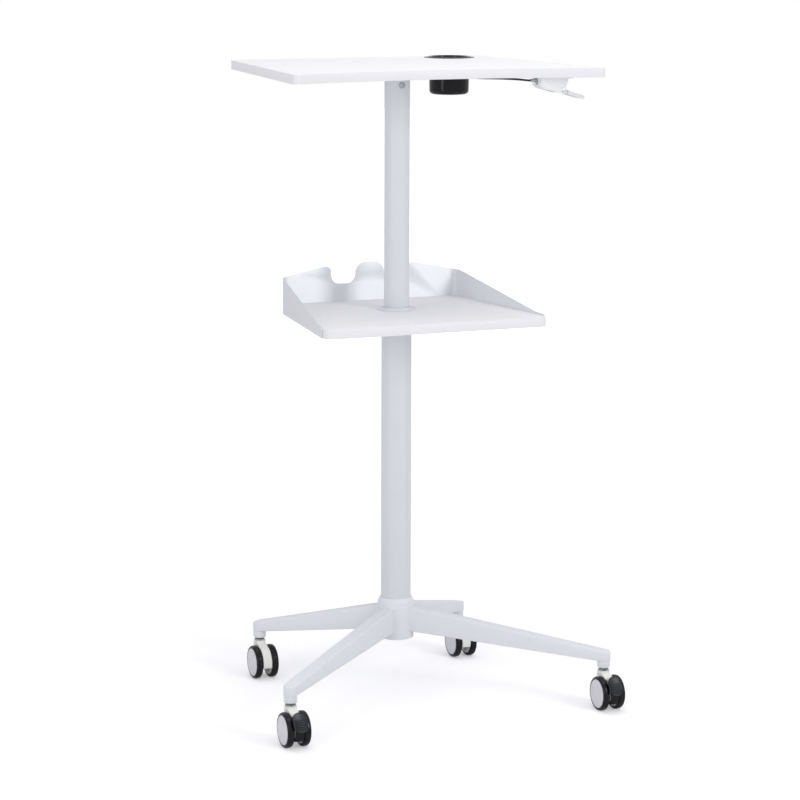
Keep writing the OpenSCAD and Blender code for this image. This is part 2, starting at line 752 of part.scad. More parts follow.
module leg(corner) {
    spot = stem_spot(corner);
    length = norm(spot);
    color("WhiteSmoke") on_column() rotate([0, 0, atan2(spot[1], spot[0])]) difference() {
        union() {
            intersection() {
                across_y(leg_w) leg_side(length, length + leg_w / 2, 0);
                union() {
                    translate([0, -leg_w / 2, 0]) cube([length, leg_w, hub_top_z]);
                    translate([length, 0, 0]) cylinder(h = hub_top_z, d = leg_w);
                }
            }
            translate([length, 0, boss_bottom_z])
                cylinder(h = leg_tip_bottom_z - boss_bottom_z + leg_wall, d = boss_d);
        }
        cylinder(h = hub_top_z, r = hub_r + seat_fit);
        across_y(leg_w - 2 * leg_wall) leg_side(length, length - boss_d / 2 - leg_wall, leg_wall);
        translate([length, 0, boss_bottom_z - overrun])
            cylinder(h = socket_h + overrun, d = stem_pin_d + 2 * seat_fit);
    }
}

module hub_plate() {
    color("Silver") on_column()
        round_tube(column_foot_z - hub_plate_t, column_foot_z, outer_tube_d / 2,
            spring_foot_d / 2 + seat_fit);
}

module gas_spring_nut() {
    color("Silver") on_column() raised(column_foot_z - hub_plate_t - nut_h) difference() {
        cylinder(h = nut_h, d = nut_af / cos(30), $fn = 6);
        raised(-overrun)
            cylinder(h = nut_h + 2 * overrun, d = spring_foot_d + 2 * seat_fit);
    }
}

// Column, fixed part
module outer_column() {
    color("Gainsboro") on_column()
        round_tube(column_foot_z, shelf_height, outer_tube_d / 2, outer_bore_r);
}

module upper_guide_bush() {
    color("DimGray") on_column()
        round_tube(upper_bush_bottom_z, shelf_height, outer_bore_r - seat_fit,
            inner_tube_r + run_fit);
}

module anti_rotation_rail() {
    color("Silver") on_column() raised(rail_bottom_z) intersection() {
        cylinder(h = rail_top_z - rail_bottom_z, r = outer_bore_r - seat_fit);
        translate([-rail_w / 2, outer_bore_r - rail_t, 0])
            cube([rail_w, rail_t, rail_top_z - rail_bottom_z]);
    }
}

module column_trim_ring() {
    collar_r = outer_tube_d / 2;
    ring_r = trim_ring_d / 2;
    color("White") on_column() raised(shelf_height) rotate_extrude() polygon([
        [inner_tube_r + edge_fit, 0], [ring_r, 0], [ring_r, trim_ring_t - trim_bevel],
        [ring_r - trim_bevel, trim_ring_t], [collar_r, trim_ring_t],
        [collar_r, trim_ring_t + trim_collar_h - trim_bevel],
        [collar_r - trim_bevel, trim_ring_t + trim_collar_h],
        [inner_tube_r + edge_fit, trim_ring_t + trim_collar_h]
    ]);
}

module gas_spring_cylinder() {
    color("DimGray") on_column() difference() {
        union() {
            raised(column_foot_z) cylinder(h = spring_top_z - column_foot_z, d = spring_d);
            raised(spring_foot_bottom_z)
                cylinder(h = column_foot_z - spring_foot_bottom_z, d = spring_foot_d);
        }
        raised(spring_floor_z)
            cylinder(h = spring_top_z - gland_h - spring_floor_z, r = spring_bore_r);
        raised(spring_floor_z)
            cylinder(h = spring_top_z - spring_floor_z + overrun, r = rod_d / 2 + run_fit);
    }
}

// Shelf
module shelf_board() {
    color("White") on_column() difference() {
        raised(shelf_bottom_z) linear_extrude(height = shelf_t)
            polygon(shelf_outline(0, shelf_front_y, shelf_corner_r, rim_bend_r - edge_fit));
        raised(shelf_bottom_z - overrun)
            cylinder(h = shelf_t + 2 * overrun, d = outer_tube_d + 2 * edge_fit);
        raised(shelf_bottom_z - overrun) linear_extrude(height = rim_t + overrun) difference() {
            translate([-shelf_front_w, rim_flange_front_y - edge_fit])
                square([2 * shelf_front_w, shelf_depth]);
            polygon(shelf_outline(-rim_flange_w - edge_fit, shelf_front_y, 0, 0));
        }
        for (spot = rim_screw_spots) translate(spot) raised(shelf_bottom_z + rim_t) pilot();
        for (spot = shelf_screw_spots) translate(spot) raised(shelf_bottom_z) pilot();
    }
}

// Edge of the sheet seen from the front: x and height above the shelf's underside
function rim_back_edge() =
    rounded(
        with_left_half([
            [shelf_front_w, 0], [shelf_front_w, rim_corner_h], [shelf_back_w / 2, rim_corner_h],
            [notch_outer_x, notch_lip_h], [notch_outer_x, notch_floor_h],
            [notch_inner_x, notch_floor_h], [notch_inner_x, crest_h]
        ]),
        with_left_radii([0, 0, 0, notch_lip_r, notch_r, notch_r, crest_r]));

// Edge of the sheet seen from the side: y and height above the shelf's underside
function rim_cheek_edge() =
    rounded(
        [[cheek_front_y, 0], [shelf_depth, 0], [shelf_depth, crest_h + rim_corner_h],
         [rim_bend_y, crest_h + rim_corner_h], [rim_bend_y, rim_corner_h],
         [cheek_low_y, cheek_low_h], [cheek_front_y, cheek_tip_h]],
        [0, 0, 0, 0, 0, cheek_blend_r, cheek_tip_r]);

module shelf_rim() {
    color("Gainsboro") on_column() raised(shelf_bottom_z) difference() {
        union() {
            intersection() {
                linear_extrude(height = crest_h + rim_corner_h) difference() {
                    polygon(shelf_outline(edge_fit + rim_t, cheek_front_y, 0, rim_bend_r + rim_t));
                    polygon(shelf_outline(edge_fit, cheek_front_y - overrun, 0, rim_bend_r));
                }
                across_y(2 * shelf_depth) polygon(rim_back_edge());
                across_x(2 * shelf_front_w) polygon(rim_cheek_edge());
            }
            linear_extrude(height = rim_t) difference() {
                polygon(shelf_outline(edge_fit + rim_t / 2, rim_flange_front_y, 0, rim_bend_r));
                polygon(shelf_outline(-rim_flange_w, rim_flange_front_y - overrun, 0, 0));
            }
        }
        for (spot = rim_screw_spots) translate(spot) screw_hole(rim_t);
    }
}

module shelf_bracket() {
    plate_z = shelf_bottom_z - shelf_plate_t;
    sleeve_bore_r = outer_tube_d / 2 + seat_fit;
    color("WhiteSmoke") on_column() difference() {
        union() {
            raised(plate_z) rounded_plate(shelf_plate_w, shelf_plate_d, shelf_plate_t);
            raised(plate_z - sleeve_h)
                cylinder(h = sleeve_h + overrun, r = sleeve_bore_r + sleeve_wall);
        }
        raised(plate_z - sleeve_h - overrun)
            cylinder(h = sleeve_h + shelf_plate_t + 2 * overrun, r = sleeve_bore_r);
        for (spot = shelf_screw_spots) translate(spot) raised(plate_z) screw_hole(shelf_plate_t);
    }
}

module shelf_screws() {
    color("Silver") on_column() {
        for (spot = shelf_screw_spots)
            translate(spot) raised(shelf_bottom_z - shelf_plate_t) wood_screw(shelf_plate_t);
        for (spot = rim_screw_spots) translate(spot) raised(shelf_bottom_z) wood_screw(rim_t);
    }
}

// Column, rising part
module inner_column() {
    color("Gainsboro") on_column() difference() {
        round_tube(inner_tube_bottom_z, inner_tube_top_z, inner_tube_r, inner_tube_r - tube_wall);
        raised(cable_z) bar_x(cable_hole_r, 0, inner_tube_d);
        raised(clamp_screw_z) rotate([0, 0, -90])
            bar_x(clamp_screw_d / 2 + 2 * seat_fit, 0, inner_tube_d);
    }
}

module lower_guide_bush() {
    color("DimGray") on_column() difference() {
        round_tube(inner_tube_bottom_z, inner_tube_bottom_z + lower_bush_h,
            outer_bore_r - run_fit, inner_tube_r + seat_fit);
        translate([-rail_w / 2 - rail_play, 0, inner_tube_bottom_z - overrun])
            cube([rail_w + 2 * rail_play, outer_tube_d, lower_bush_h + 2 * overrun]);
    }
}

module desk_bracket() {
    color("WhiteSmoke") on_column() difference() {
        union() {
            raised(inner_tube_top_z) rounded_plate(desk_plate_w, desk_plate_d, desk_plate_t);
            round_tube(inner_tube_top_z - spigot_h, inner_tube_top_z + desk_plate_t / 2, spigot_r,
                head_d / 2 + seat_fit);
        }
        raised(cable_z) bar_x(cable_hole_r, 0, inner_tube_d);
        raised(clamp_screw_z) rotate([0, 0, -90])
            bar_x(clamp_screw_d / 2 + seat_fit, 0, inner_tube_d);
        for (spot = desk_screw_spots)
            translate(spot) raised(inner_tube_top_z) screw_hole(desk_plate_t);
    }
}

// Plan of the desk: its front curves in along an arc
function desk_outline() =
    let (
        arc_end = desk_front_w / 2 - 2 * desk_corner_r,
        front = [for (i = [0:front_steps])
            let (x = mix(-arc_end, arc_end, i / front_steps))
            [x, desk_front_y + desk_sagitta - desk_arc_r + sqrt(pow(desk_arc_r, 2) - x * x)]]
    )
    rounded(
        concat([[-desk_front_w / 2, desk_front_y]], front,
            [[desk_front_w / 2, desk_front_y], [desk_back_w / 2, desk_behind],
             [-desk_back_w / 2, desk_behind]]),
        concat([desk_corner_r], [for (p = front) 0], [desk_corner_r, desk_corner_r, desk_corner_r]));

module desktop() {
    color("White") on_column() difference() {
        raised(desk_bottom_z) linear_extrude(height = desk_t) polygon(desk_outline());
        translate([cup_x, cup_y, desk_bottom_z - overrun])
            cylinder(h = desk_t + 2 * overrun, d = cup_hole_d);
        for (spot = concat(desk_screw_spots, lever_screw_spots))
            translate(spot) raised(desk_bottom_z) pilot();
    }
}

module desk_screws() {
    color("Silver") on_column() for (spot = desk_screw_spots)
        translate(spot) raised(inner_tube_top_z) wood_screw(desk_plate_t);
}

// The button-head screw that clamps the inner tube to the bracket, and its washer
module column_screw() {
    face_r = clamp_head_d / 2;
    color("Silver") on_column() raised(clamp_screw_z) rotate([90, 0, 0]) {
        raised(clamp_seat_y)
            round_tube(0, clamp_washer_t, clamp_washer_d / 2, clamp_screw_d / 2 + seat_fit);
        raised(clamp_seat_y + clamp_washer_t) difference() {
            rotate_extrude() polygon([
                [0, -clamp_screw_l], [clamp_screw_d / 2, -clamp_screw_l], [clamp_screw_d / 2, 0],
                [face_r, 0], [face_r, clamp_head_h * 0.2], [face_r * 0.85, clamp_head_h * 0.7],
                [face_r * 0.55, clamp_head_h], [0, clamp_head_h]
            ]);
            raised(clamp_head_h - clamp_socket_h)
                cylinder(h = clamp_socket_h + overrun, d = clamp_socket_af / cos(30), $fn = 6);
        }
    }
}

module cup_holder() {
    bore_r = cup_bore_d / 2;
    ring_r = cup_ring_d / 2;
    floor_z = cup_floor_t - cup_drop;
    color("DimGray") on_column() translate([cup_x, cup_y, desk_height]) rotate_extrude()
        polygon(rounded(
            [[0, -cup_drop], [cup_foot_d / 2, -cup_drop], [cup_top_d / 2, 0], [cup_brim_d / 2, 0],
             [cup_brim_d / 2, cup_brim_edge_t], [ring_r, cup_brim_t],
             [ring_r - cup_lead, cup_ring_h], [bore_r + cup_lead, cup_ring_h],
             [bore_r, cup_ring_h - cup_lead], [bore_r, floor_z], [0, floor_z]],
            [0, cup_foot_r, 0, 0, 0, 0, 0, 0, 0, cup_foot_r - cup_floor_t + cup_brim_edge_t, 0]));
}

// Gas spring's moving parts and its release
module gas_spring_rod() {
    color("Silver") on_column() difference() {
        union() {
            raised(piston_top_z - piston_h) cylinder(h = piston_h, r = spring_bore_r - run_fit);
            raised(piston_top_z - piston_h)
                cylinder(h = rod_top_z - piston_top_z + piston_h, d = rod_d);
        }
        raised(pin_bore_bottom_z)
            cylinder(h = rod_top_z - pin_bore_bottom_z + overrun, r = release_pin_d / 2 + run_fit);
    }
}

module release_pin() {
    color("Goldenrod") on_column() raised(release_pin_top_z - release_pin_l)
        cylinder(h = release_pin_l, d = release_pin_d);
}

module release_head() {
    slot_x1 = cable_start[0] - head_ferrule_l;
    color("DimGray") on_column() {
        difference() {
            raised(head_bottom_z) cylinder(h = head_h, d = head_d);
            raised(head_bottom_z - overrun)
                cylinder(h = rod_top_z - head_bottom_z + overrun + edge_fit, r = rod_d / 2 + seat_fit);
            translate([-head_d, -head_slot_w / 2, head_floor_z])
                cube([head_d + slot_x1, head_slot_w, head_h]);
            raised(cable_z) bar_x(ferrule_d / 2 + seat_fit, 0, head_d);
            translate([arm_pivot[0], 0, arm_pivot[1]]) bar_y(arm_pin_d / 2 + seat_fit, head_d);
        }
        translate([arm_pivot[0], 0, arm_pivot[1]])
            bar_y(arm_pin_d / 2, 2 * sqrt(pow(head_d / 2, 2) - pow(arm_pivot_x + arm_pin_d / 2, 2)));
    }
}

module release_arm() {
    wire_eye = [arm_pivot[0], cable_z];
    color("Gray") on_column() across_y(arm_t) difference() {
        union() {
            link(arm_pivot, arm_eye_r, arm_nose, arm_nose_r);
            link(arm_pivot, arm_stem_r, wire_eye, arm_stem_r);
        }
        translate(arm_pivot) circle(r = arm_pin_d / 2 + run_fit);
    }
}

module release_cable() {
    rings = len(cable_path);
    points = [for (i = [0:rings - 1]) each cable_ring(i)];
    sides = [for (i = [0:rings - 2], k = [0:cable_sides - 1])
        let (a = i * cable_sides + k, b = i * cable_sides + (k + 1) % cable_sides)
        each [[a, b, b + cable_sides], [a, b + cable_sides, a + cable_sides]]];
    caps = [
        [for (k = [cable_sides - 1:-1:0]) k],
        [for (k = [0:cable_sides - 1]) (rings - 1) * cable_sides + k]
    ];
    eye = [lever_x + pull_arm_end[0], -lever_reach, desk_bottom_z + pull_arm_end[1]];
    ferrule_end = cable_end + [lever_ferrule_l, 0, 0];
    run = eye - ferrule_end;
    color("Black") on_column() {
        polyhedron(points = points, faces = concat(sides, caps));
        translate(cable_start) bar_x(wire_d / 2, -head_ferrule_l - arm_pivot_x - overrun, overrun);
        translate(cable_end) bar_x(wire_d / 2, -overrun, lever_ferrule_l);
        translate(ferrule_end) sphere(d = wire_d);
        translate(ferrule_end) rotate([0, atan2(-run[2], run[0]), 0])
            bar_x(wire_d / 2, 0, norm(run) - pull_arm_t / 2 - edge_fit);
    }
}

module cable_ferrules() {
    color("Silver") on_column() {
        translate(cable_start - [head_ferrule_l, 0, 0]) difference() {
            bar_x(ferrule_d / 2, 0, head_ferrule_l);
            bar_x(wire_d / 2 + seat_fit, -overrun, head_ferrule_l + overrun);
        }
        translate(cable_end) difference() {
            union() {
                bar_x(ferrule_d / 2, 0, lever_ferrule_l);
                bar_x(ferrule_flange_d / 2, lever_ferrule_out - ferrule_flange_t, lever_ferrule_out);
            }
            bar_x(wire_d / 2 + seat_fit, -overrun, lever_ferrule_l + overrun);
        }
    }
}

// Lever under the desk
module at_lever() {
    on_column() translate([lever_x, -lever_reach, desk_bottom_z]) children();
}

module at_lever_pivot() {
    at_lever() translate([lever_pivot[0], 0, lever_pivot[1]]) children();
}

module lever_housing() {
    outer = [for (s = lever_profile_shares) [s[0] * lever_l, -s[1] * lever_h]];
    color("WhiteSmoke") at_lever() difference() {
        union() {
            translate([0, -lever_flange_w / 2, -lever_flange_t])
                cube([lever_flange_l, lever_flange_w, lever_flange_t]);
            across_y(lever_w) polygon(rounded(outer, lever_corner_radii));
            translate([lever_pivot[0], 0, lever_pivot[1]]) bar_y(lever_lobe_d / 2, lever_w);
        }
        intersection() {
            across_y(lever_inner_w) polygon(inset(outer, lever_wall));
            translate([0, -lever_w / 2, -lever_flange_t - lever_h])
                cube([lever_l, lever_w, lever_h]);
        }
        translate([lever_mouth_x, -lever_inner_w / 2, -lever_mouth_h - lever_h])
            cube([lever_l, lever_inner_w, lever_h]);
        translate([-overrun, -ferrule_d / 2 - seat_fit, -lever_slot_h])
            cube([lever_mouth_x / 2, ferrule_d + 2 * seat_fit, lever_slot_h - lever_flange_t]);
        translate([lever_pivot[0], 0, lever_pivot[1]])
            bar_y(lever_pin_d / 2 + seat_fit, lever_w + 2 * overrun);
        for (s = lever_screw_shares) translate([s[0] * lever_l, s[1] * lever_w, -lever_flange_t])
            screw_hole(lever_flange_t);
    }
}

module lever_screws() {
    color("Silver") on_column() for (spot = lever_screw_spots)
        translate(spot) raised(desk_bottom_z - lever_flange_t) wood_screw(lever_flange_t);
}

module lever_pivot_pin() {
    color("Silver") at_lever_pivot() {
        bar_y(lever_pin_d / 2, lever_w + 2 * rivet_head_t);
        for (side = [left, right])
            translate([0, side * (lever_w + rivet_head_t) / 2, 0]) bar_y(rivet_head_d / 2, rivet_head_t);
    }
}

module release_paddle() {
    profile = [for (s = paddle_profile_shares) [s[0] * paddle_l, s[1] * paddle_t]];
    radii = paddle_corner_shares * (paddle_t / 2);
    neck_half_w = paddle_neck_w / 2 - side_play;
    half_w = paddle_w / 2;
    color("Gainsboro") at_lever_pivot() difference() {
        union() {
            bar_y(paddle_knuckle_d / 2, paddle_neck_w);
            rotate([0, paddle_slope, 0]) intersection() {
                across_y(paddle_cut_w) polygon(rounded(profile, radii));
                raised(-paddle_t) linear_extrude(height = 2 * paddle_t) polygon(rounded(
                    [[-paddle_t, -neck_half_w], [paddle_plate_x, -neck_half_w],
                     [paddle_plate_x, -half_w], [paddle_l, -half_w], [paddle_l, half_w],
                     [paddle_plate_x, half_w], [paddle_plate_x, neck_half_w],
                     [-paddle_t, neck_half_w]],
                    [0, 0, 0, paddle_tip_r, paddle_tip_r, 0, 0, 0]));
            }
            across_y(pull_arm_w)
                link([0, 0], pull_arm_root_r, pull_arm_end - lever_pivot, pull_arm_t / 2);
        }
        bar_y(lever_pin_d / 2 + run_fit, lever_w);
    }
}

// Casters
module caster_stem(corner) {
    at_stem(corner) rotate_extrude() polygon([
        [0, chassis_top_z - swivel_pin_l], [swivel_pin_d / 2, chassis_top_z - swivel_pin_l],
        [swivel_pin_d / 2, stem_washer_bottom_z], [stem_washer_d / 2, stem_washer_bottom_z],
        [stem_washer_d / 2, stem_collar_bottom_z], [stem_collar_d / 2, stem_collar_bottom_z],
        [stem_collar_d / 2, boss_bottom_z], [stem_pin_d / 2, boss_bottom_z],
        [stem_pin_d / 2, boss_bottom_z + socket_h - edge_fit],
        [0, boss_bottom_z + socket_h - edge_fit]
    ]);
}

module caster_stems() {
    color("Silver") for (corner = [front_left, front_right, rear_left, rear_right])
        caster_stem(corner);
}

// Side view of a caster's body
module chassis_side(braked) {
    head_z = chassis_top_z - chassis_head_t;
    intersection() {
        translate(axle_spot) circle(r = chassis_r);
        translate(axle_spot - [chassis_r, chassis_skirt_h]) square(2 * chassis_r);
    }
    translate(axle_spot) circle(d = axle_boss_d);
    polygon([
        [neck_l / 2, axle_spot[1]], [neck_l / 2, head_z + overrun],
        [-neck_l / 2, head_z + overrun],
        axle_spot + chassis_r * chassis_shoulder_share,
        axle_spot
    ]);
    if (braked) link(axle_spot, pedal_ear_r, pedal_pivot, pedal_ear_r);
}

module caster_body(corner, braked) {
    head_z = chassis_top_z - chassis_head_t;
    color("Linen") at_stem(corner) difference() {
        union() {
            across_x(chassis_w) chassis_side(braked);
            raised(head_z) cylinder(h = chassis_head_t, d = neck_l);
        }
        raised(swivel_bore_bottom_z)
            cylinder(h = chassis_top_z - swivel_bore_bottom_z + overrun,
                d = swivel_pin_d + 2 * run_fit);
        translate([0, axle_spot[0], axle_spot[1]])
            bar_x(axle_d / 2 + seat_fit, -chassis_w, chassis_w);
        if (braked) translate([0, pedal_pivot[0], pedal_pivot[1]]) {
            bar_x(trunnion_d / 2 + run_fit, -chassis_w, chassis_w);
            bar_x(pedal_slot_r, -pedal_arm_w / 2 - edge_fit, pedal_arm_w / 2 + edge_fit);
        }
    }
}

module axle(corner) {
    color("Silver") at_stem(corner) translate([0, axle_spot[0], axle_spot[1]])
        bar_x(axle_d / 2, -axle_l / 2, axle_l / 2);
}

// A wheel's own frame: z runs outwards from the middle of the tyre
module at_wheel(corner, side) {
    at_stem(corner) translate([side * wheel_x, axle_spot[0], axle_spot[1]])
        rotate([0, side * 90, 0]) children();
}

module tyre(corner, side) {
    color("DarkSlateGray") at_wheel(corner, side) rotate_extrude() polygon(rounded(
        [[wheel_disc_r, -tyre_w / 2], [wheel_r, -tyre_w / 2], [wheel_r, tyre_w / 2],
         [wheel_disc_r, tyre_w / 2]],
        [0, tyre_shoulder_r, tyre_shoulder_r, 0]));
}

module wheel_hub(corner, side) {
    bore_r = axle_d / 2 + run_fit;
    bore_end = axle_l / 2 - wheel_x + edge_fit;
    rim_r = wheel_disc_r - seat_fit;
    dome = [for (i = [arc_steps - 1:-1:1])
        let (share = i / arc_steps)
        [rim_r * share, tyre_w / 2 + wheel_dome * (1 - share * share)]];
    color("Lavender") at_wheel(corner, side) rotate_extrude() polygon(concat(
        [[bore_r, -tyre_w / 2], [rim_r, -tyre_w / 2], [rim_r, tyre_w / 2]], dome,
        [[0, tyre_w / 2 + wheel_dome], [0, bore_end], [bore_r, bore_end]]));
}

module brake_pedal(corner) {
    pad_r = pedal_w / 2;
    pad_run = (pedal_l - pedal_w) / 2;
    color("DarkSlateGray") at_stem(corner) {
        translate([0, pedal_middle[0], pedal_middle[1]]) rotate([pedal_lean, 0, 0]) {
            raised(-pedal_t / 2) linear_extrude(height = pedal_t - pedal_rib_h) {
                translate([0, -pad_run]) circle(r = pad_r);
                translate([0, pad_run]) circle(r = pad_r);
                square([pedal_w, 2 * pad_run], center = true);
            }
            for (s = pedal_rib_shares)
                translate([0, -s * pedal_l / 2, pedal_t / 2 - pedal_rib_h - pedal_t / 8])
                    linear_extrude(height = pedal_rib_h + pedal_t / 8)
                        square([pedal_w * 0.6, pedal_rib_w], center = true);
        }
        across_x(pedal_arm_w) link(pedal_pivot, pedal_knuckle_r, pedal_middle, pedal_arm_r / 2);
        translate([0, pedal_pivot[0], pedal_pivot[1]])
            bar_x(trunnion_d / 2, -trunnion_l / 2, trunnion_l / 2);
    }
}

base_hub();
leg(front_left);  // front_left_leg
leg(front_right);  // front_right_leg
leg(rear_left);  // rear_left_leg
leg(rear_right);  // rear_right_leg
hub_plate();
gas_spring_nut();
outer_column();
upper_guide_bush();
anti_rotation_rail();
gas_spring_cylinder();
shelf_board();
shelf_rim();
shelf_bracket();
shelf_screws();
column_trim_ring();
caster_stems();
inner_column();
lower_guide_bush();
desk_bracket();
desktop();
desk_screws();
column_screw();
cup_holder();
gas_spring_rod();
release_head();
release_cable();
cable_ferrules();
lever_housing();
lever_screws();
lever_pivot_pin();
release_paddle();
release_arm();
release_pin();
caster_body(front_left, true);  // front_left_caster_body
axle(front_left);  // front_left_axle
tyre(front_left, left);  // front_left_left_tyre
tyre(front_left, right);  // front_left_right_tyre
wheel_hub(front_left, left);  // front_left_left_hub
wheel_hub(front_left, right);  // front_left_right_hub
brake_pedal(front_left);  // front_left_brake_pedal
caster_body(front_right, true);  // front_right_caster_body
axle(front_right);  // front_right_axle
tyre(front_right, left);  // front_right_left_tyre
tyre(front_right, right);  // front_right_right_tyre
wheel_hub(front_right, left);  // front_right_left_hub
wheel_hub(front_right, right);  // front_right_right_hub
brake_pedal(front_right);  // front_right_brake_pedal
caster_body(rear_left, false);  // rear_left_caster_body
axle(rear_left);  // rear_left_axle
tyre(rear_left, left);  // rear_left_left_tyre
tyre(rear_left, right);  // rear_left_right_tyre
wheel_hub(rear_left, left);  // rear_left_left_hub
wheel_hub(rear_left, right);  // rear_left_right_hub
caster_body(rear_right, false);  // rear_right_caster_body
axle(rear_right);  // rear_right_axle
tyre(rear_right, left);  // rear_right_left_tyre
tyre(rear_right, right);  // rear_right_right_tyre
wheel_hub(rear_right, left);  // rear_right_left_hub
wheel_hub(rear_right, right);  // rear_right_right_hub
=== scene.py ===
"""A mobile standing workstation, dressed for its picture.

Everything is in metres in the part's own frame. The floor is z = 0, the user stands on the -y side,
and the column rises a little behind the middle. Sizes that a maker would quote are in millimetres.
"""
import json
import logging
import math
from collections.abc import Callable, Iterator, Sequence
from contextlib import contextmanager
from dataclasses import dataclass, field
from enum import Enum
from typing import Any

import bmesh
import bpy
from mathutils import Euler, Matrix, Vector

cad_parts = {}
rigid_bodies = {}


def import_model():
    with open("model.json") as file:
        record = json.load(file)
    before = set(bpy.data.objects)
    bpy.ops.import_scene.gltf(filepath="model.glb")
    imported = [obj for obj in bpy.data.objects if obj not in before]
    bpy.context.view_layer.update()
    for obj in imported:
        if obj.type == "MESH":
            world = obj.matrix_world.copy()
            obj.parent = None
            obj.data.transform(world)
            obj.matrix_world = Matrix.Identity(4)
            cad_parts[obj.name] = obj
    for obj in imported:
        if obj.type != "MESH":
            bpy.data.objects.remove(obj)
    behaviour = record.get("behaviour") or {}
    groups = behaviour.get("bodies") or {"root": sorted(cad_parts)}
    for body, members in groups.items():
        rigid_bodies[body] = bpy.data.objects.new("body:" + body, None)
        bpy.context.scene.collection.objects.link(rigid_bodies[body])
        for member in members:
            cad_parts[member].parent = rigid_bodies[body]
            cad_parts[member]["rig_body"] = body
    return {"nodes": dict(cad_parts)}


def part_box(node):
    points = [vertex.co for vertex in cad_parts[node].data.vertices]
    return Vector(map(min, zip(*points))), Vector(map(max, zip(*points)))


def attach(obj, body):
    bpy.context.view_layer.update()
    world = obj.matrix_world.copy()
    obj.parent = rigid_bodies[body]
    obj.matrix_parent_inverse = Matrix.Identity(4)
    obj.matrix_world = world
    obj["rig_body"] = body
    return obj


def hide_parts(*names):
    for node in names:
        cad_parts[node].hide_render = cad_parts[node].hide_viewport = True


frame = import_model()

MM = 0.001
# Points that lie closer than this, in metres, are one point.
MERGE = 2e-6
# Faces that turn by fewer degrees than this are one face.
FLAT = 0.3
# A noise texture keeps mostly between these two values.
NOISE_SPAN = (0.3, 0.7)
# No real surface here is glossier than this roughness.
LEAST_ROUGHNESS = 0.02
# Height of the leg bosses' lower faces, where the casters' collars end, in mm.
BOSS_LOW = 81.5
# Decimals of a place in metres that tell solids apart when they are sorted.
PLACE_DECIMALS = 4
LOG = logging.getLogger("workstation")
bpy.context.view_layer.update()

Outline = list[tuple[float, float]]


def linear(hex_colour: str) -> tuple[float, float, float, float]:
    """Turn an sRGB hex colour into the linear values that a shader takes.

    Args:
        hex_colour: Six hex digits after a # sign.

    Returns:
        Red, green, blue and a full alpha.
    """
    parts = [int(hex_colour[i:i + 2], 16) / 255 for i in (1, 3, 5)]
    red, green, blue = (c / 12.92 if c <= 0.04045 else ((c + 0.055) / 1.055) ** 2.4 for c in parts)
    return red, green, blue, 1.0


def add_node(
    tree: bpy.types.NodeTree,
    kind: str,
    values: dict[Any, Any] | None = None,
    links: dict[Any, bpy.types.NodeSocket] | None = None,
    **settings: Any,
) -> bpy.types.Node:
    """Add a shader node with its settings, socket values and links.

    Args:
        tree: The material's or world's nodes.
        kind: The node's type name.
        values: Socket name or number, and the value it is set to.
        links: Socket name or number, and the output that feeds it.
        settings: The node's own properties.

    Returns:
        The new node.
    """
    node = tree.nodes.new(kind)
    for name, value in settings.items():
        setattr(node, name, value)
    for socket, value in (values or {}).items():
        node.inputs[socket].default_value = value
    for socket, source in (links or {}).items():
        tree.links.new(source, node.inputs[socket])
    return node


def blank_material(name: str) -> tuple[bpy.types.Material, bpy.types.NodeTree]:
    """Start a material, and give it and its empty node tree."""
    material = bpy.data.materials.new(name)
    material.use_nodes = True
    material.node_tree.nodes.clear()
    return material, material.node_tree


class Grain(Enum):
    """How a surface was made, as the stretch and the detail of its relief."""

    PEARL = ("pressed against an etched plate", (1, 1, 1), 1.5)
    ORANGE_PEEL = ("powder that melted and levelled out", (1, 1, 1), 0.0)
    SPARK = ("moulded in a spark-eroded tool", (1, 1, 1), 3.0)
    POLISHED = ("moulded in a polished tool", (1, 1, 1), 0.5)
    ROUND_Z = ("drawn or turned, with lines round the column's axis", (0.02, 0.02, 1), 2.0)
    ROUND_X = ("moulded or turned, with lines round a wheel's axle", (1, 0.02, 0.02), 2.0)
    PLATED = ("zinc grown on rolled steel", (1, 1, 1), 4.0)
    CAST = ("run into a sand-blasted die", (1, 1, 1), 5.0)
    CHIPS = ("wood chips pressed with glue", (1, 1, 0.4), 6.0)

    def __init__(self, making: str, stretch: tuple[float, float, float], detail: float) -> None:
        """Keep the three facts of a grain under their names."""
        self.making = making
        self.stretch = stretch
        self.detail = detail


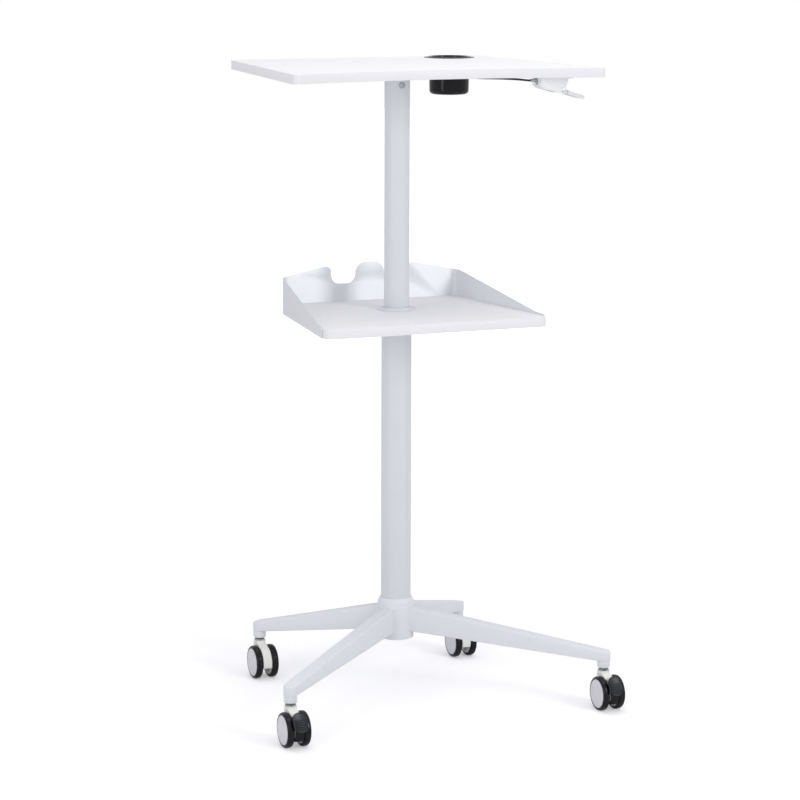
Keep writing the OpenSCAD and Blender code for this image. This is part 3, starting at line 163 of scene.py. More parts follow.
@dataclass(frozen=True)
class Finish:
    """A real finish: its colours, its gloss and the relief that its making leaves.

    Sizes are real ones in millimetres. A relief finer than about 0.8 mm is drawn at that size,
    because a pixel of the picture covers nearly 2 mm and a finer one would vanish.
    """

    name: str
    slot: str
    colour: str
    roughness: float
    grain: Grain
    grain_mm: float
    depth_mm: float
    shade: str = ""
    mottle_mm: float = 60.0
    gloss_spread: float = 0.04
    metallic: float = 0.0
    ior: float = 1.5
    coat: float = 0.0
    coat_roughness: float = 0.05
    subsurface_mm: float = 0.0

    def material(self) -> bpy.types.Material:
        """Give the finish as a material, made once and then shared."""
        return bpy.data.materials.get(self.name) or self.mix()

    def mix(self) -> bpy.types.Material:
        """Build the material's nodes.

        Returns:
            The new material.
        """
        LOG.info("%s: %s", self.name, self.grain.making)
        material, tree = blank_material(self.name)
        where = add_node(tree, "ShaderNodeTexCoord").outputs["Object"]
        cloud = add_node(
            tree, "ShaderNodeTexNoise", {"Scale": 1 / (self.mottle_mm * MM), "Detail": 3.0},
            {"Vector": where}).outputs["Fac"]
        # The mix node's sockets for colours have the numbers 6 and 7, and its output for them is 2.
        tone = add_node(
            tree, "ShaderNodeMix", {6: linear(self.colour), 7: linear(self.shade or self.colour)},
            {0: cloud}, data_type="RGBA").outputs[2]
        gloss = add_node(
            tree, "ShaderNodeMapRange",
            {"From Min": NOISE_SPAN[0], "From Max": NOISE_SPAN[1],
             "To Min": max(LEAST_ROUGHNESS, self.roughness - self.gloss_spread),
             "To Max": self.roughness + self.gloss_spread},
            {"Value": cloud}).outputs["Result"]
        along = add_node(
            tree, "ShaderNodeMapping", {"Scale": self.grain.stretch}, {"Vector": where}).outputs[0]
        relief = add_node(
            tree, "ShaderNodeTexNoise",
            {"Scale": 1 / (self.grain_mm * MM), "Detail": self.grain.detail},
            {"Vector": along}).outputs["Fac"]
        bump = add_node(
            tree, "ShaderNodeBump", {"Strength": 1.0, "Distance": self.depth_mm * MM},
            {"Height": relief}).outputs["Normal"]
        values = {
            "Metallic": self.metallic, "Coat Weight": self.coat, "Coat Roughness": self.coat_roughness,
            "Subsurface Weight": 1.0 if self.subsurface_mm else 0.0,
            "Subsurface Scale": self.subsurface_mm * MM,
        }
        if not self.metallic:
            values["IOR"] = self.ior
        shader = add_node(
            tree, "ShaderNodeBsdfPrincipled", values,
            {"Base Color": tone, "Roughness": gloss, "Normal": bump}).outputs["BSDF"]
        add_node(tree, "ShaderNodeOutputMaterial", links={"Surface": shader})
        return material


# Melamine paper pressed on chipboard: an even, nearly pure white with a soft broad gloss.
LAMINATE = Finish(
    "white_melamine_laminate", "white_laminate", "#F1F1F3", 0.42, Grain.PEARL, 0.8, 0.01,
    shade="#EEEEF1", mottle_mm=90)
# Extruded ABS tape glued round the board: a little glossier, with faint drawing waves, and a touch
# darker than the top as painted shade on the board's sides.
EDGE_BAND_WITH_PAINTED_SHADE = Finish(
    "white_abs_edge_band_painted_shade", "white_laminate", "#EDEEF1", 0.34, Grain.POLISHED, 6, 0.012,
    shade="#EAEBEF", mottle_mm=120)
# The board's raw core in its holes: pale brown chips, dull and rough.
CHIPBOARD = Finish(
    "raw_chipboard", "white_laminate", "#C9A77A", 0.9, Grain.CHIPS, 2.5, 0.3,
    shade="#8F6B43", mottle_mm=3, gloss_spread=0.05)
# Polyester powder baked on welded steel: white, satin, with the soft swell of orange peel.
WHITE_POWDER = Finish(
    "white_powder_coated_steel", "white_powder_coat", "#E9EBEF", 0.4, Grain.ORANGE_PEEL, 2.4, 0.02,
    shade="#E6E8ED", mottle_mm=70)
# The same powder a tone greyer, on the column tubes and the shelf's sheet surround.
GREY_POWDER = Finish(
    "pale_grey_powder_coated_steel", "grey_powder_coat", "#E1E3E6", 0.4, Grain.ORANGE_PEEL, 2.4, 0.02,
    shade="#DEE0E4", mottle_mm=70)
# Injection-moulded ABS housing: white, satin, finely eroded.
WHITE_ABS = Finish(
    "white_moulded_abs", "white_abs", "#E4E6EA", 0.38, Grain.SPARK, 0.9, 0.012,
    shade="#E1E3E8", mottle_mm=30)
# The lever's paddle in a warmer grey ABS, rubbed smoother where fingers lift it.
GREY_ABS = Finish(
    "pale_grey_moulded_abs", "grey_abs", "#D9D7D8", 0.34, Grain.SPARK, 0.9, 0.012,
    shade="#D4D2D4", mottle_mm=18, gloss_spread=0.07)
# Polished moulded plastic: deep black that mirrors the room in long soft streaks.
GLOSS_BLACK = Finish(
    "black_gloss_moulded_plastic", "black_gloss_plastic", "#0E0E12", 0.12, Grain.POLISHED, 14, 0.03,
    shade="#131318", mottle_mm=40, gloss_spread=0.03, ior=1.36)
# Glass-filled nylon: cream, waxy, lets a little light in.
CREAM_NYLON = Finish(
    "cream_moulded_nylon", "cream_nylon", "#E9E5DC", 0.36, Grain.SPARK, 1.0, 0.02,
    shade="#E2DDD2", mottle_mm=12, subsurface_mm=1.2)
# Polyurethane tread: nearly black, very glossy, with fine mould lines round the wheel.
TREAD = Finish(
    "black_polyurethane_tread", "black_tread", "#0F0F13", 0.16, Grain.ROUND_X, 1.6, 0.05,
    shade="#17171C", mottle_mm=9, gloss_spread=0.05, ior=1.36)
# Moulded wheel disc: pale cool grey, satin, so that it reads as a flat coin against the tyre.
WHEEL_DISC = Finish(
    "pale_moulded_wheel_disc", "grey_disc", "#E0DFE4", 0.4, Grain.SPARK, 0.9, 0.015,
    shade="#DBDAE0", mottle_mm=15)
# Moulded nylon pedal: charcoal, half matt, its grain scuffed lighter by shoes.
PEDAL_NYLON = Finish(
    "charcoal_moulded_nylon", "dark_pedal", "#191B21", 0.3, Grain.SPARK, 1.0, 0.03,
    shade="#272A31", mottle_mm=6, gloss_spread=0.08, ior=1.45)
# Bright zinc plate on steel: a bluish silver that is softly blurred, brighter on rubbed edges.
ZINC = Finish(
    "bright_zinc_plated_steel", "zinc_plated_steel", "#C3C6C8", 0.3, Grain.PLATED, 1.2, 0.03,
    shade="#A9ADB0", mottle_mm=7, gloss_spread=0.1, metallic=1)
# Yellow-green passivated zinc on the swivel collar: darker and slightly warm.
PASSIVATED_ZINC = Finish(
    "passivated_zinc_plate", "zinc_plated_steel", "#8C938E", 0.32, Grain.PLATED, 1.2, 0.03,
    shade="#6F7771", mottle_mm=5, gloss_spread=0.1, metallic=1)
# Stoved enamel on the gas spring's cylinder: black, glossy, slightly wavy.
BLACK_ENAMEL = Finish(
    "black_stoved_enamel", "black_enamel", "#121214", 0.28, Grain.ORANGE_PEEL, 3, 0.02,
    shade="#18181B", mottle_mm=50)
# Hard chrome on a ground rod: a near mirror with hair lines round it.
CHROME = Finish(
    "hard_chromed_rod", "chromed_rod", "#D8DADC", 0.1, Grain.ROUND_Z, 0.8, 0.004,
    shade="#D2D5D8", mottle_mm=30, gloss_spread=0.03, metallic=1)
# Die-cast aluminium: grey, dull, with the skin of the die.
CAST_ALUMINIUM = Finish(
    "die_cast_aluminium", "cast_aluminium", "#B4B5B6", 0.46, Grain.CAST, 1.5, 0.06,
    shade="#9D9FA1", mottle_mm=6, gloss_spread=0.08, metallic=1)
# Turned acetal guide bushes: near black, smooth and waxy.
ACETAL = Finish(
    "dark_turned_acetal", "dark_acetal", "#26262A", 0.35, Grain.ROUND_Z, 0.9, 0.02,
    shade="#2C2C31", mottle_mm=20)
# Soft PVC over the cable's spiral: black, with a broad dim gloss.
CABLE_PVC = Finish(
    "black_pvc_sheath", "cable_sheath", "#141416", 0.42, Grain.POLISHED, 4, 0.04,
    shade="#1C1C1F", mottle_mm=8, gloss_spread=0.06)


def linked(name: str, data: bpy.types.ID) -> bpy.types.Object:
    """Make an object of a mesh, curve, camera or lamp and link it into the scene."""
    piece = bpy.data.objects.new(name, data)
    bpy.context.scene.collection.objects.link(piece)
    return piece


def pick(*pieces: bpy.types.Object) -> None:
    """Select these objects alone and make the first one active.

    Args:
        pieces: The objects that the next operators work on.
    """
    bpy.ops.object.select_all(action="DESELECT")
    for piece in pieces:
        piece.select_set(True)
    bpy.context.view_layer.objects.active = pieces[0]


@contextmanager
def editing(piece: bpy.types.Object, mode: str = "VERT") -> Iterator[None]:
    """Keep one object in edit mode for a with block, with nothing selected at its start.

    Args:
        piece: The object to edit.
        mode: VERT, EDGE or FACE.

    Yields:
        Nothing.
    """
    pick(piece)
    bpy.ops.object.mode_set(mode="EDIT")
    bpy.ops.mesh.select_mode(type=mode)
    bpy.ops.mesh.select_all(action="DESELECT")
    try:
        yield
    finally:
        bpy.ops.object.mode_set(mode="OBJECT")


def choose(piece: bpy.types.Object, what: str, test: Callable[[Any], bool]) -> None:
    """Select, in edit mode, the vertices, edges or faces that pass a test.

    Args:
        piece: The object in edit mode.
        what: verts, edges or faces.
        test: Says whether one of them is wanted.
    """
    mesh = bmesh.from_edit_mesh(piece.data)
    for item in getattr(mesh, what):
        item.select_set(test(item))
    mesh.select_flush_mode()
    bmesh.update_edit_mesh(piece.data)


def tidy_mesh() -> None:
    """Merge what lies in one place and turn every face outwards, in edit mode."""
    bpy.ops.mesh.select_all(action="SELECT")
    bpy.ops.mesh.remove_doubles(threshold=MERGE)
    bpy.ops.mesh.normals_make_consistent(inside=False)


def turned(name: str, outline: Outline, steps: int = 96) -> bpy.types.Object:
    """Turn a round piece about the z axis from half of its section.

    Args:
        name: The piece's name.
        outline: Radius and height of each corner in mm. It closes on itself for a ring, and
            otherwise both its ends become flat faces.
        steps: How many straight parts a turn has.

    Returns:
        The new object.
    """
    closed = outline[0] == outline[-1]
    radius, height = outline[0]
    bpy.ops.object.select_all(action="DESELECT")
    bpy.ops.mesh.primitive_circle_add(
        vertices=steps, radius=radius * MM, fill_type="NOTHING" if closed else "NGON",
        location=(0, 0, height * MM))
    piece = bpy.context.active_object
    piece.name = name
    bpy.ops.object.transform_apply(location=True)
    with editing(piece, "EDGE"):
        bpy.ops.mesh.select_all(action="SELECT")
        for next_radius, next_height in outline[1:]:
            bpy.ops.mesh.extrude_edges_move(
                TRANSFORM_OT_translate={"value": (0, 0, (next_height - height) * MM)})
            growth = next_radius / radius
            bpy.ops.transform.resize(
                value=(growth, growth, 1), center_override=(0, 0, next_height * MM))
            radius, height = next_radius, next_height
        if not closed:
            bpy.ops.mesh.edge_face_add()
        tidy_mesh()
    return piece


def arc(
    radius: float, height: float, size: float, start: float, end: float, parts: int = 6,
) -> Outline:
    """Points of an arc in a half section.

    Args:
        radius: Distance of the arc's centre from the axis, in mm.
        height: Height of the arc's centre, in mm.
        size: The arc's own radius, in mm.
        start: Angle of its first point in degrees, 0 pointing outwards and 90 up.
        end: Angle of its last point.
        parts: How many straight parts it has.

    Returns:
        The points, both ends included.
    """
    turns = [math.radians(start + (end - start) * i / parts) for i in range(parts + 1)]
    return [(radius + size * math.cos(a), height + size * math.sin(a)) for a in turns]


def ring_section(inner: float, outer: float, low: float, high: float) -> Outline:
    """Give the closed half section of a plain ring, in mm."""
    return [(inner, low), (outer, low), (outer, high), (inner, high), (inner, low)]


def chamfered(*corners: tuple[float, ...]) -> Outline:
    """Draw a half section and cut some of its corners.

    Args:
        corners: Radius and height of each corner in mm, and for one that is cut how far the cut
            reaches along both its sides.

    Returns:
        The points, two of them for each cut corner.
    """
    points: Outline = []
    for i, (radius, height, *reach) in enumerate(corners):
        if not reach:
            points.append((radius, height))
            continue
        for other in (corners[i - 1], corners[i + 1]):
            across, up = other[0] - radius, other[1] - height
            share = reach[0] / math.hypot(across, up)
            points.append((radius + across * share, height + up * share))
    return points


def block(name: str, low: Sequence[float], high: Sequence[float]) -> bpy.types.Object:
    """Start a piece from a cube between two corners.

    Args:
        name: The piece's name.
        low: Lowest corner in mm.
        high: Highest corner in mm.

    Returns:
        The new object.
    """
    bpy.ops.object.select_all(action="DESELECT")
    centre = [(a + b) / 2 * MM for a, b in zip(low, high)]
    bpy.ops.mesh.primitive_cube_add(size=1, location=centre)
    piece = bpy.context.active_object
    piece.name = name
    piece.scale = [(b - a) * MM for a, b in zip(low, high)]
    bpy.ops.object.transform_apply(location=True, rotation=True, scale=True)
    return piece


def bar(name: str, radius: float, length: float, steps: int = 48) -> bpy.types.Object:
    """Start a piece from a cylinder along z, evenly above and below z = 0, sizes in mm."""
    bpy.ops.object.select_all(action="DESELECT")
    bpy.ops.mesh.primitive_cylinder_add(vertices=steps, radius=radius * MM, depth=length * MM)
    piece = bpy.context.active_object
    piece.name = name
    return piece


def soften(
    piece: bpy.types.Object, width: float, segments: int = 3, angle: float = 30.0,
) -> bpy.types.Object:
    """Round a piece's edges with a bevel and shade it smooth between them.

    Args:
        piece: The object to finish.
        width: Width of the rounding in mm.
        segments: How many faces the rounding has.
        angle: Only edges that turn by more degrees than this are rounded.

    Returns:
        The same object.
    """
    pick(piece)
    bpy.ops.object.modifier_add(type="BEVEL")
    bevel = piece.modifiers[-1]
    bevel.width = width * MM
    bevel.segments = segments
    bevel.limit_method = "ANGLE"
    bevel.angle_limit = math.radians(angle)
    bpy.ops.object.modifier_apply(modifier=bevel.name)
    return smooth(piece)


def smooth(piece: bpy.types.Object, angle: float = 40.0) -> bpy.types.Object:
    """Shade a piece smooth where its faces turn by less than an angle in degrees."""
    pick(piece)
    bpy.ops.object.shade_smooth_by_angle(angle=math.radians(angle))
    return piece


def throw_away(*pieces: bpy.types.Object) -> None:
    """Delete objects that only helped to make others."""
    for piece in pieces:
        bpy.data.objects.remove(piece, do_unlink=True)


def cut(piece: bpy.types.Object, cutter: bpy.types.Object) -> bpy.types.Object:
    """Cut one object out of another and throw the cutter away.

    Args:
        piece: The object that is cut.
        cutter: The closed shape that is taken away.

    Returns:
        The object that was cut.
    """
    pick(piece)
    bpy.ops.object.modifier_add(type="BOOLEAN")
    boolean = piece.modifiers[-1]
    boolean.operation = "DIFFERENCE"
    boolean.solver = "EXACT"
    boolean.object = cutter
    bpy.ops.object.modifier_apply(modifier=boolean.name)
    throw_away(cutter)
    return piece


def place(
    piece: bpy.types.Object, where: Sequence[float], turn: Sequence[float] = (0, 0, 0),
) -> bpy.types.Object:
    """Turn a piece, carry it to its place and apply both to its mesh.

    Args:
        piece: An object at the origin.
        where: Its place in metres.
        turn: Degrees about x, then y, then z.

    Returns:
        The same object.
    """
    angles = Euler([math.radians(a) for a in turn])
    piece.matrix_world = Matrix.Translation(where) @ angles.to_matrix().to_4x4()
    pick(piece)
    bpy.ops.object.transform_apply(location=True, rotation=True, scale=True)
    return piece


def twin(piece: bpy.types.Object, name: str) -> bpy.types.Object:
    """Copy a piece under a new name, with a mesh of its own."""
    pick(piece)
    bpy.ops.object.duplicate(linked=False)
    copy = bpy.context.active_object
    copy.name = name
    return copy


def joined(name: str, pieces: Sequence[bpy.types.Object]) -> bpy.types.Object:
    """Join several objects into the first one and name it."""
    pick(*pieces)
    if len(pieces) > 1:
        bpy.ops.object.join()
    pieces[0].name = name
    return pieces[0]


def from_cad(node: str, name: str) -> bpy.types.Object:
    """Copy a CAD node as clean merged faces, ready to be worked on.

    Args:
        node: The CAD node.
        name: The new piece's name.

    Returns:
        The copy.
    """
    piece = linked(name, frame["nodes"][node].data.copy())
    with editing(piece):
        bpy.ops.mesh.select_all(action="SELECT")
        bpy.ops.mesh.remove_doubles(threshold=MERGE)
        bpy.ops.mesh.dissolve_limited(angle_limit=math.radians(FLAT))
    return piece


@dataclass(frozen=True)
class Box:
    """The lowest and highest corner of something, in metres."""

    low: Vector
    high: Vector

    @property
    def centre(self) -> Vector:
        """The middle of the box."""
        return (self.low + self.high) / 2

    @property
    def size(self) -> Vector:
        """The box's three sizes."""
        return self.high - self.low


def node_box(node: str) -> Box:
    """Give a CAD node's box at rest."""
    low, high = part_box(node)
    return Box(Vector(low), Vector(high))


def solid_boxes(node: str) -> list[Box]:
    """Find the box of each separate solid of a CAD node.

    Args:
        node: The CAD node.

    Returns:
        One box for each solid, in order of x and then y.
    """
    probe = from_cad(node, "probe")
    with editing(probe):
        bpy.ops.mesh.select_all(action="SELECT")
        bpy.ops.mesh.separate(type="LOOSE")
    boxes = []
    for loose in list(bpy.context.selected_objects):
        points = [v.co for v in loose.data.vertices]
        low = Vector([min(p[i] for p in points) for i in range(3)])
        high = Vector([max(p[i] for p in points) for i in range(3)])
        boxes.append(Box(low, high))
        throw_away(loose)
    return sorted(boxes, key=lambda box: [round(v, PLACE_DECIMALS) for v in box.centre.xy])


def dress(piece: bpy.types.Object, finish: Finish, *nodes: str, more: Sequence[Finish] = ()) -> None:
    """Give a piece its finish, its body and the CAD nodes that it stands for.

    Args:
        piece: The finished object.
        finish: Its main finish.
        nodes: The CAD nodes that it replaces. It rides on the first one's body.
        more: Finishes of its other material slots.
    """
    if not piece.data.materials:
        for each in (finish, *more):
            piece.data.materials.append(each.material())
    body = frame["nodes"][nodes[0]]["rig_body"]
    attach(piece, body)
    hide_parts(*nodes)
    LOG.info("%s rides on %s, %d faces", piece.name, body, len(piece.data.polygons))


def eased(
    node: str, name: str, finish: Finish, width: float, segments: int = 3, angle: float = 30.0,
) -> None:
    """Dress a copy of a CAD node after rounding its edges.

    Args:
        node: The CAD node.
        name: The piece's name.
        finish: Its finish.
        width: Width of the rounding in mm.
        segments: How many faces the rounding has.
        angle: Only edges that turn by more degrees than this are rounded.
    """
    dress(soften(from_cad(node, name), width, segments, angle), finish, node)


def dress_cad(finish: Finish, *nodes: str) -> None:
    """Give CAD nodes whose shape is right a real finish.

    Args:
        finish: The finish.
        nodes: The CAD nodes.
    """
    for node in nodes:
        mesh = frame["nodes"][node].data
        mesh.materials.clear()
        mesh.materials.append(finish.material())
        LOG.info("%s keeps its shape, in %s", node, finish.name)


class Corner(Enum):
    """The four corners of the base, with their sides and ends."""

    FRONT_LEFT = ("front_left", -1, -1)
    FRONT_RIGHT = ("front_right", 1, -1)
    REAR_LEFT = ("rear_left", -1, 1)
    REAR_RIGHT = ("rear_right", 1, 1)

    def __init__(self, title: str, side: int, end: int) -> None:
        """Keep the corner's name and signs."""
        self.title = title
        self.side = side
        self.end = end

    @property
    def braked(self) -> bool:
        """Whether this corner's caster has a brake pedal."""
        return self.end < 0

    def stem(self) -> Box:
        """Give the box of this corner's caster stem."""
        return next(
            box for box in solid_boxes("caster_stems")
            if box.centre.x * self.side > 0 and (box.centre.y - column_axis().y) * self.end > 0)


class WheelSide(Enum):
    """The two wheels of a caster, with the way that their outer faces look."""

    LEFT = ("left", -1)
    RIGHT = ("right", 1)

    def __init__(self, title: str, way: int) -> None:
        """Keep the side's name and its sign along x."""
        self.title = title
        self.way = way


def column_axis() -> Vector:
    """Give the place of the column's axis on the floor."""
    centre = node_box("outer_column").centre
    return Vector((centre.x, centre.y, 0))


@dataclass
class Studio:
    """Camera, lamps, floor and the white that lies behind everything."""

    camera_place: tuple[float, float, float] = (-2.0969, -4.9711, 1.5674)
    camera_heading: float = 22.558
    camera_dip: float = 9.779
    camera_roll: float = 0.159
    lens: float = 125.1
    shift: tuple[float, float] = (0.0086, -0.0218)
    floor_size: float = 30.0
    floor_colour: str = "#E8E8EA"
    floor_roughness: float = 0.5
    floor_lift: tuple[float, float] = (0.3, 0.75)
    floor_lift_run: tuple[float, float] = (0.8, 5.0)
    sky_colour: str = "#FBFBFF"
    sky_strength: float = 0.72
    lamps: tuple[tuple[str, tuple[float, float, float], tuple[float, float], float], ...] = (
        ("key_softbox", (1.9, -4.0, 2.4), (1.0, 2.2), 42.0),
        ("top_softbox", (0.2, -0.2, 4.2), (2.6, 2.6), 28.0),
        ("left_fill", (-3.6, -2.0, 1.4), (1.6, 2.2), 22.0),
    )
    target: tuple[float, float, float] = (0.0, 0.0, 0.65)

    def build(self) -> None:
        """Set up camera, lamps, world and floor."""
        self.add_camera()
        for name, spot, size, power in self.lamps:
            self.add_lamp(name, Vector(spot), size, power)
        self.light_world()
        self.lay_floor()
        bpy.context.scene.view_settings.view_transform = "Standard"
        LOG.info("studio with %d lamps", len(self.lamps))

    def add_camera(self) -> None:
        """Stand the camera where the photographer stood."""
        data = bpy.data.cameras.new("camera")
        data.lens = self.lens
        data.shift_x, data.shift_y = self.shift
        camera = linked("camera", data)
        level = Euler((math.radians(90 - self.camera_dip), 0, math.radians(-self.camera_heading)))
        roll = Matrix.Rotation(math.radians(self.camera_roll), 4, "Z")
        camera.matrix_world = (
            Matrix.Translation(self.camera_place) @ level.to_matrix().to_4x4() @ roll)
        bpy.context.scene.camera = camera

    def add_lamp(self, name: str, spot: Vector, size: tuple[float, float], power: float) -> None:
        """Hang one softbox that looks at the workstation.

        Args:
            name: The lamp's name.
            spot: Its place in metres.
            size: Its width and height in metres.
            power: Its power in watts.
        """
        data = bpy.data.lights.new(name, "AREA")
        data.shape = "RECTANGLE"
        data.size, data.size_y = size
        data.energy = power
        lamp = linked(name, data)
        aim = (Vector(self.target) - spot).to_track_quat("-Z", "Y")
        lamp.matrix_world = Matrix.Translation(spot) @ aim.to_matrix().to_4x4()

    def seen_directly(self, tree: bpy.types.NodeTree) -> bpy.types.NodeSocket:
        """Make a mask of the rays that look straight at the background.

        Args:
            tree: The nodes to add it to.

        Returns:
            1 for camera and transmission rays, and 0 for the rest.
        """
        path = add_node(tree, "ShaderNodeLightPath").outputs
        return add_node(
            tree, "ShaderNodeMath",
            links={0: path["Is Camera Ray"], 1: path["Is Transmission Ray"]},
            operation="MAXIMUM").outputs[0]

    def light_world(self) -> None:
        """Fill the room with soft light, and show it as white."""
        world = bpy.data.worlds.new("white_room")
        world.use_nodes = True
        tree = world.node_tree
        tree.nodes.clear()
        soft = add_node(
            tree, "ShaderNodeBackground",
            {"Color": linear(self.sky_colour), "Strength": self.sky_strength})
        white = add_node(tree, "ShaderNodeBackground", {"Color": (1, 1, 1, 1), "Strength": 1.0})
        both = add_node(
            tree, "ShaderNodeMixShader",
            links={0: self.seen_directly(tree), 1: soft.outputs[0], 2: white.outputs[0]})
        add_node(tree, "ShaderNodeOutputWorld", links={"Surface": both.outputs[0]})
        bpy.context.scene.world = world

    def lay_floor(self) -> None:
        """Lay a pale floor that keeps the shadow and melts into the white behind it."""
        bpy.ops.object.select_all(action="DESELECT")
        bpy.ops.mesh.primitive_plane_add(size=self.floor_size)
        floor = bpy.context.active_object
        floor.name = "studio_floor"
        material, tree = blank_material("pale_studio_floor")
        paint = add_node(
            tree, "ShaderNodeBsdfDiffuse",
            {"Color": linear(self.floor_colour), "Roughness": self.floor_roughness})
        where = add_node(tree, "ShaderNodeTexCoord").outputs["Object"]
        distance = add_node(
            tree, "ShaderNodeVectorMath", links={0: where}, operation="LENGTH").outputs["Value"]
        near, far = self.floor_lift_run
        low, high = self.floor_lift
        amount = add_node(
            tree, "ShaderNodeMapRange",
            {"From Min": near, "From Max": far, "To Min": low, "To Max": high}, {"Value": distance})
        lift = add_node(
            tree, "ShaderNodeMath", links={0: self.seen_directly(tree), 1: amount.outputs["Result"]},
            operation="MULTIPLY")
        glow = add_node(
            tree, "ShaderNodeEmission", {"Color": (1, 1, 1, 1)}, {"Strength": lift.outputs[0]})
        both = add_node(tree, "ShaderNodeAddShader", links={0: paint.outputs[0], 1: glow.outputs[0]})
        add_node(tree, "ShaderNodeOutputMaterial", links={"Surface": both.outputs[0]})
        floor.data.materials.append(material)


def laminate_board(node: str, name: str, edge: float) -> None:
    """Make a melamine board from its CAD solid, its outer edge banded and its holes' core bare.

    Args:
        node: The CAD node.
        name: The piece's name.
        edge: How far the edges are eased, in mm.
    """
    board = soften(from_cad(node, name), edge)
    centre = node_box(node).centre
    for finish in (LAMINATE, EDGE_BAND_WITH_PAINTED_SHADE, CHIPBOARD):
        board.data.materials.append(finish.material())
    for face in board.data.polygons:
        if abs(face.normal.z) < 0.5:
            outward = face.normal.dot(face.center - centre) > 0
            # Outward side faces take the edge band, whose slightly darker white is painted shade on
            # the board's sides.
            face.material_index = 1 if outward else 2
    dress(board, LAMINATE, node)


@dataclass
class WoodScrews:
    """Pan-head wood screws with a cross recess, which point up into a board."""

    head_d: float = 9.5
    head_h: float = 2.6
    crown_share: float = 0.62
    dome_share: float = 0.55
    flat_h: float = 0.1
    flare: float = 1.28
    shank_d: float = 4.5
    tip: float = 4.5
    tip_r: float = 0.3
    recess_w: float = 1.1
    recess_l: float = 5.0
    recess_h: float = 1.4
    thread_pitch: float = 1.75
    thread_h: float = 0.35

    def build(self, node: str, name: str) -> None:
        """Make all the screws of one CAD node as one piece.

        Args:
            node: The CAD node of these screws.
            name: The piece's name.
        """
        patterns: dict[float, bpy.types.Object] = {}
        screws = []
        for box in solid_boxes(node):
            length = round(box.size.z / MM, 2)
            if length not in patterns:
                patterns[length] = self.model(length)
            screw = twin(patterns[length], "screw")
            screws.append(place(screw, (box.centre.x, box.centre.y, box.low.z)))
        throw_away(*patterns.values())
        dress(smooth(joined(name, screws)), ZINC, node)

    def model(self, length: float) -> bpy.types.Object:
        """Model one screw with its head on z = 0.

        Args:
            length: Its whole length in mm.

        Returns:
            The screw at the origin.
        """
        head_r = self.head_d / 2
        crown_r = head_r * self.crown_share
        dome = self.head_h * self.dome_share
        shank_r = self.shank_d / 2
        core_r = shank_r - self.thread_h
        thread_start = self.head_h * 2
        turns = int((length - self.tip - thread_start) / self.thread_pitch)
        outline = [
            (min(r * self.flare, head_r), z) if z > self.flat_h else (r, z)
            for r, z in [(crown_r, 0.0), *arc(crown_r, dome, dome, -90, 0, parts=5)[1:]]]
        outline += [(head_r, self.head_h), (shank_r, self.head_h)]
        for turn in range(turns):
            base = thread_start + turn * self.thread_pitch
            outline += [(core_r, base), (shank_r, base + self.thread_pitch / 2)]
        outline += [(core_r, length - self.tip), (self.tip_r, length)]
        screw = turned("screw_pattern", outline, steps=32)
        long, narrow, depth = self.recess_l / 2, self.recess_w / 2, self.recess_h
        for x, y in ((long, narrow), (narrow, long)):
            cut(screw, block("cutter", (-x, -y, -depth), (x, y, depth)))
        return screw


@dataclass
class Desk:
    """The desk board and the bracket under it."""

    edge: float = 1.3
    bracket_edge: float = 0.6

    def build(self) -> None:
        """Make the board, its bracket and the screws between them."""
        laminate_board("desktop", "desk_board", self.edge)
        eased("desk_bracket", "desk_plate_and_spigot", WHITE_POWDER, self.bracket_edge)
        WoodScrews().build("desk_screws", "desk_wood_screws")


@dataclass
class CupHolder:
    """The black drop-in cup holder, turned from its section. Heights are from the desk's surface."""

    brim_r: float = 51.3
    brim_edge_t: float = 0.8
    brim_t: float = 1.6
    brim_ease: float = 0.3
    brim_ease_low: float = 0.25
    brim_ease_high: float = 0.2
    ring_r: float = 42.5
    ring_h: float = 2.5
    ring_foot_w: float = 0.5
    ring_foot_h: float = 0.15
    top_r: float = 41.5
    foot_r: float = 40.0
    drop: float = 74.0
    bore_r: float = 36.5
    floor_t: float = 2.5
    corner_r: float = 8.0
    inner_corner_r: float = 6.3
    lip: float = 0.9
    dish_r: float = 14.0
    dish_floor_r: float = 12.0
    dish_h: float = 0.6

    def outline(self) -> Outline:
        """Give the half section, from the middle of the foot round to the middle of the floor.

        Returns:
            Radius and height of each corner.
        """
        floor = self.floor_t - self.drop
        brim_in = self.brim_r - self.brim_ease
        foot = arc(self.foot_r - self.corner_r, self.corner_r - self.drop, self.corner_r,
                   -90, 0, parts=8)
        well = arc(self.bore_r - self.inner_corner_r, floor + self.inner_corner_r,
                   self.inner_corner_r, 0, -90, parts=8)
        lip_h = self.ring_h - self.lip
        ring = arc(self.ring_r - self.lip, lip_h, self.lip, 0, 90, parts=4)
        mouth = arc(self.bore_r + self.lip, lip_h, self.lip, 90, 180, parts=4)
        return [
            (self.dish_floor_r, self.dish_h - self.drop), (self.dish_r, -self.drop), *foot,
            (self.top_r, 0.0), (brim_in, 0.0), (self.brim_r, self.brim_ease_low),
            (self.brim_r, self.brim_edge_t - self.brim_ease_high), (brim_in, self.brim_edge_t),
            (self.ring_r + self.ring_foot_w, self.brim_t),
            (self.ring_r, self.brim_t + self.ring_foot_h),
            *ring, *mouth, *well, (self.dish_floor_r, floor),
        ]

    def build(self) -> None:
        """Turn the cup holder and drop it into the desk."""
        centre = node_box("cup_holder").centre
        desk_top = node_box("desktop").high.z
        cup = smooth(turned("cup_holder_shell", self.outline(), steps=128), angle=28)
        dress(place(cup, (centre.x, centre.y, desk_top)), GLOSS_BLACK, "cup_holder")


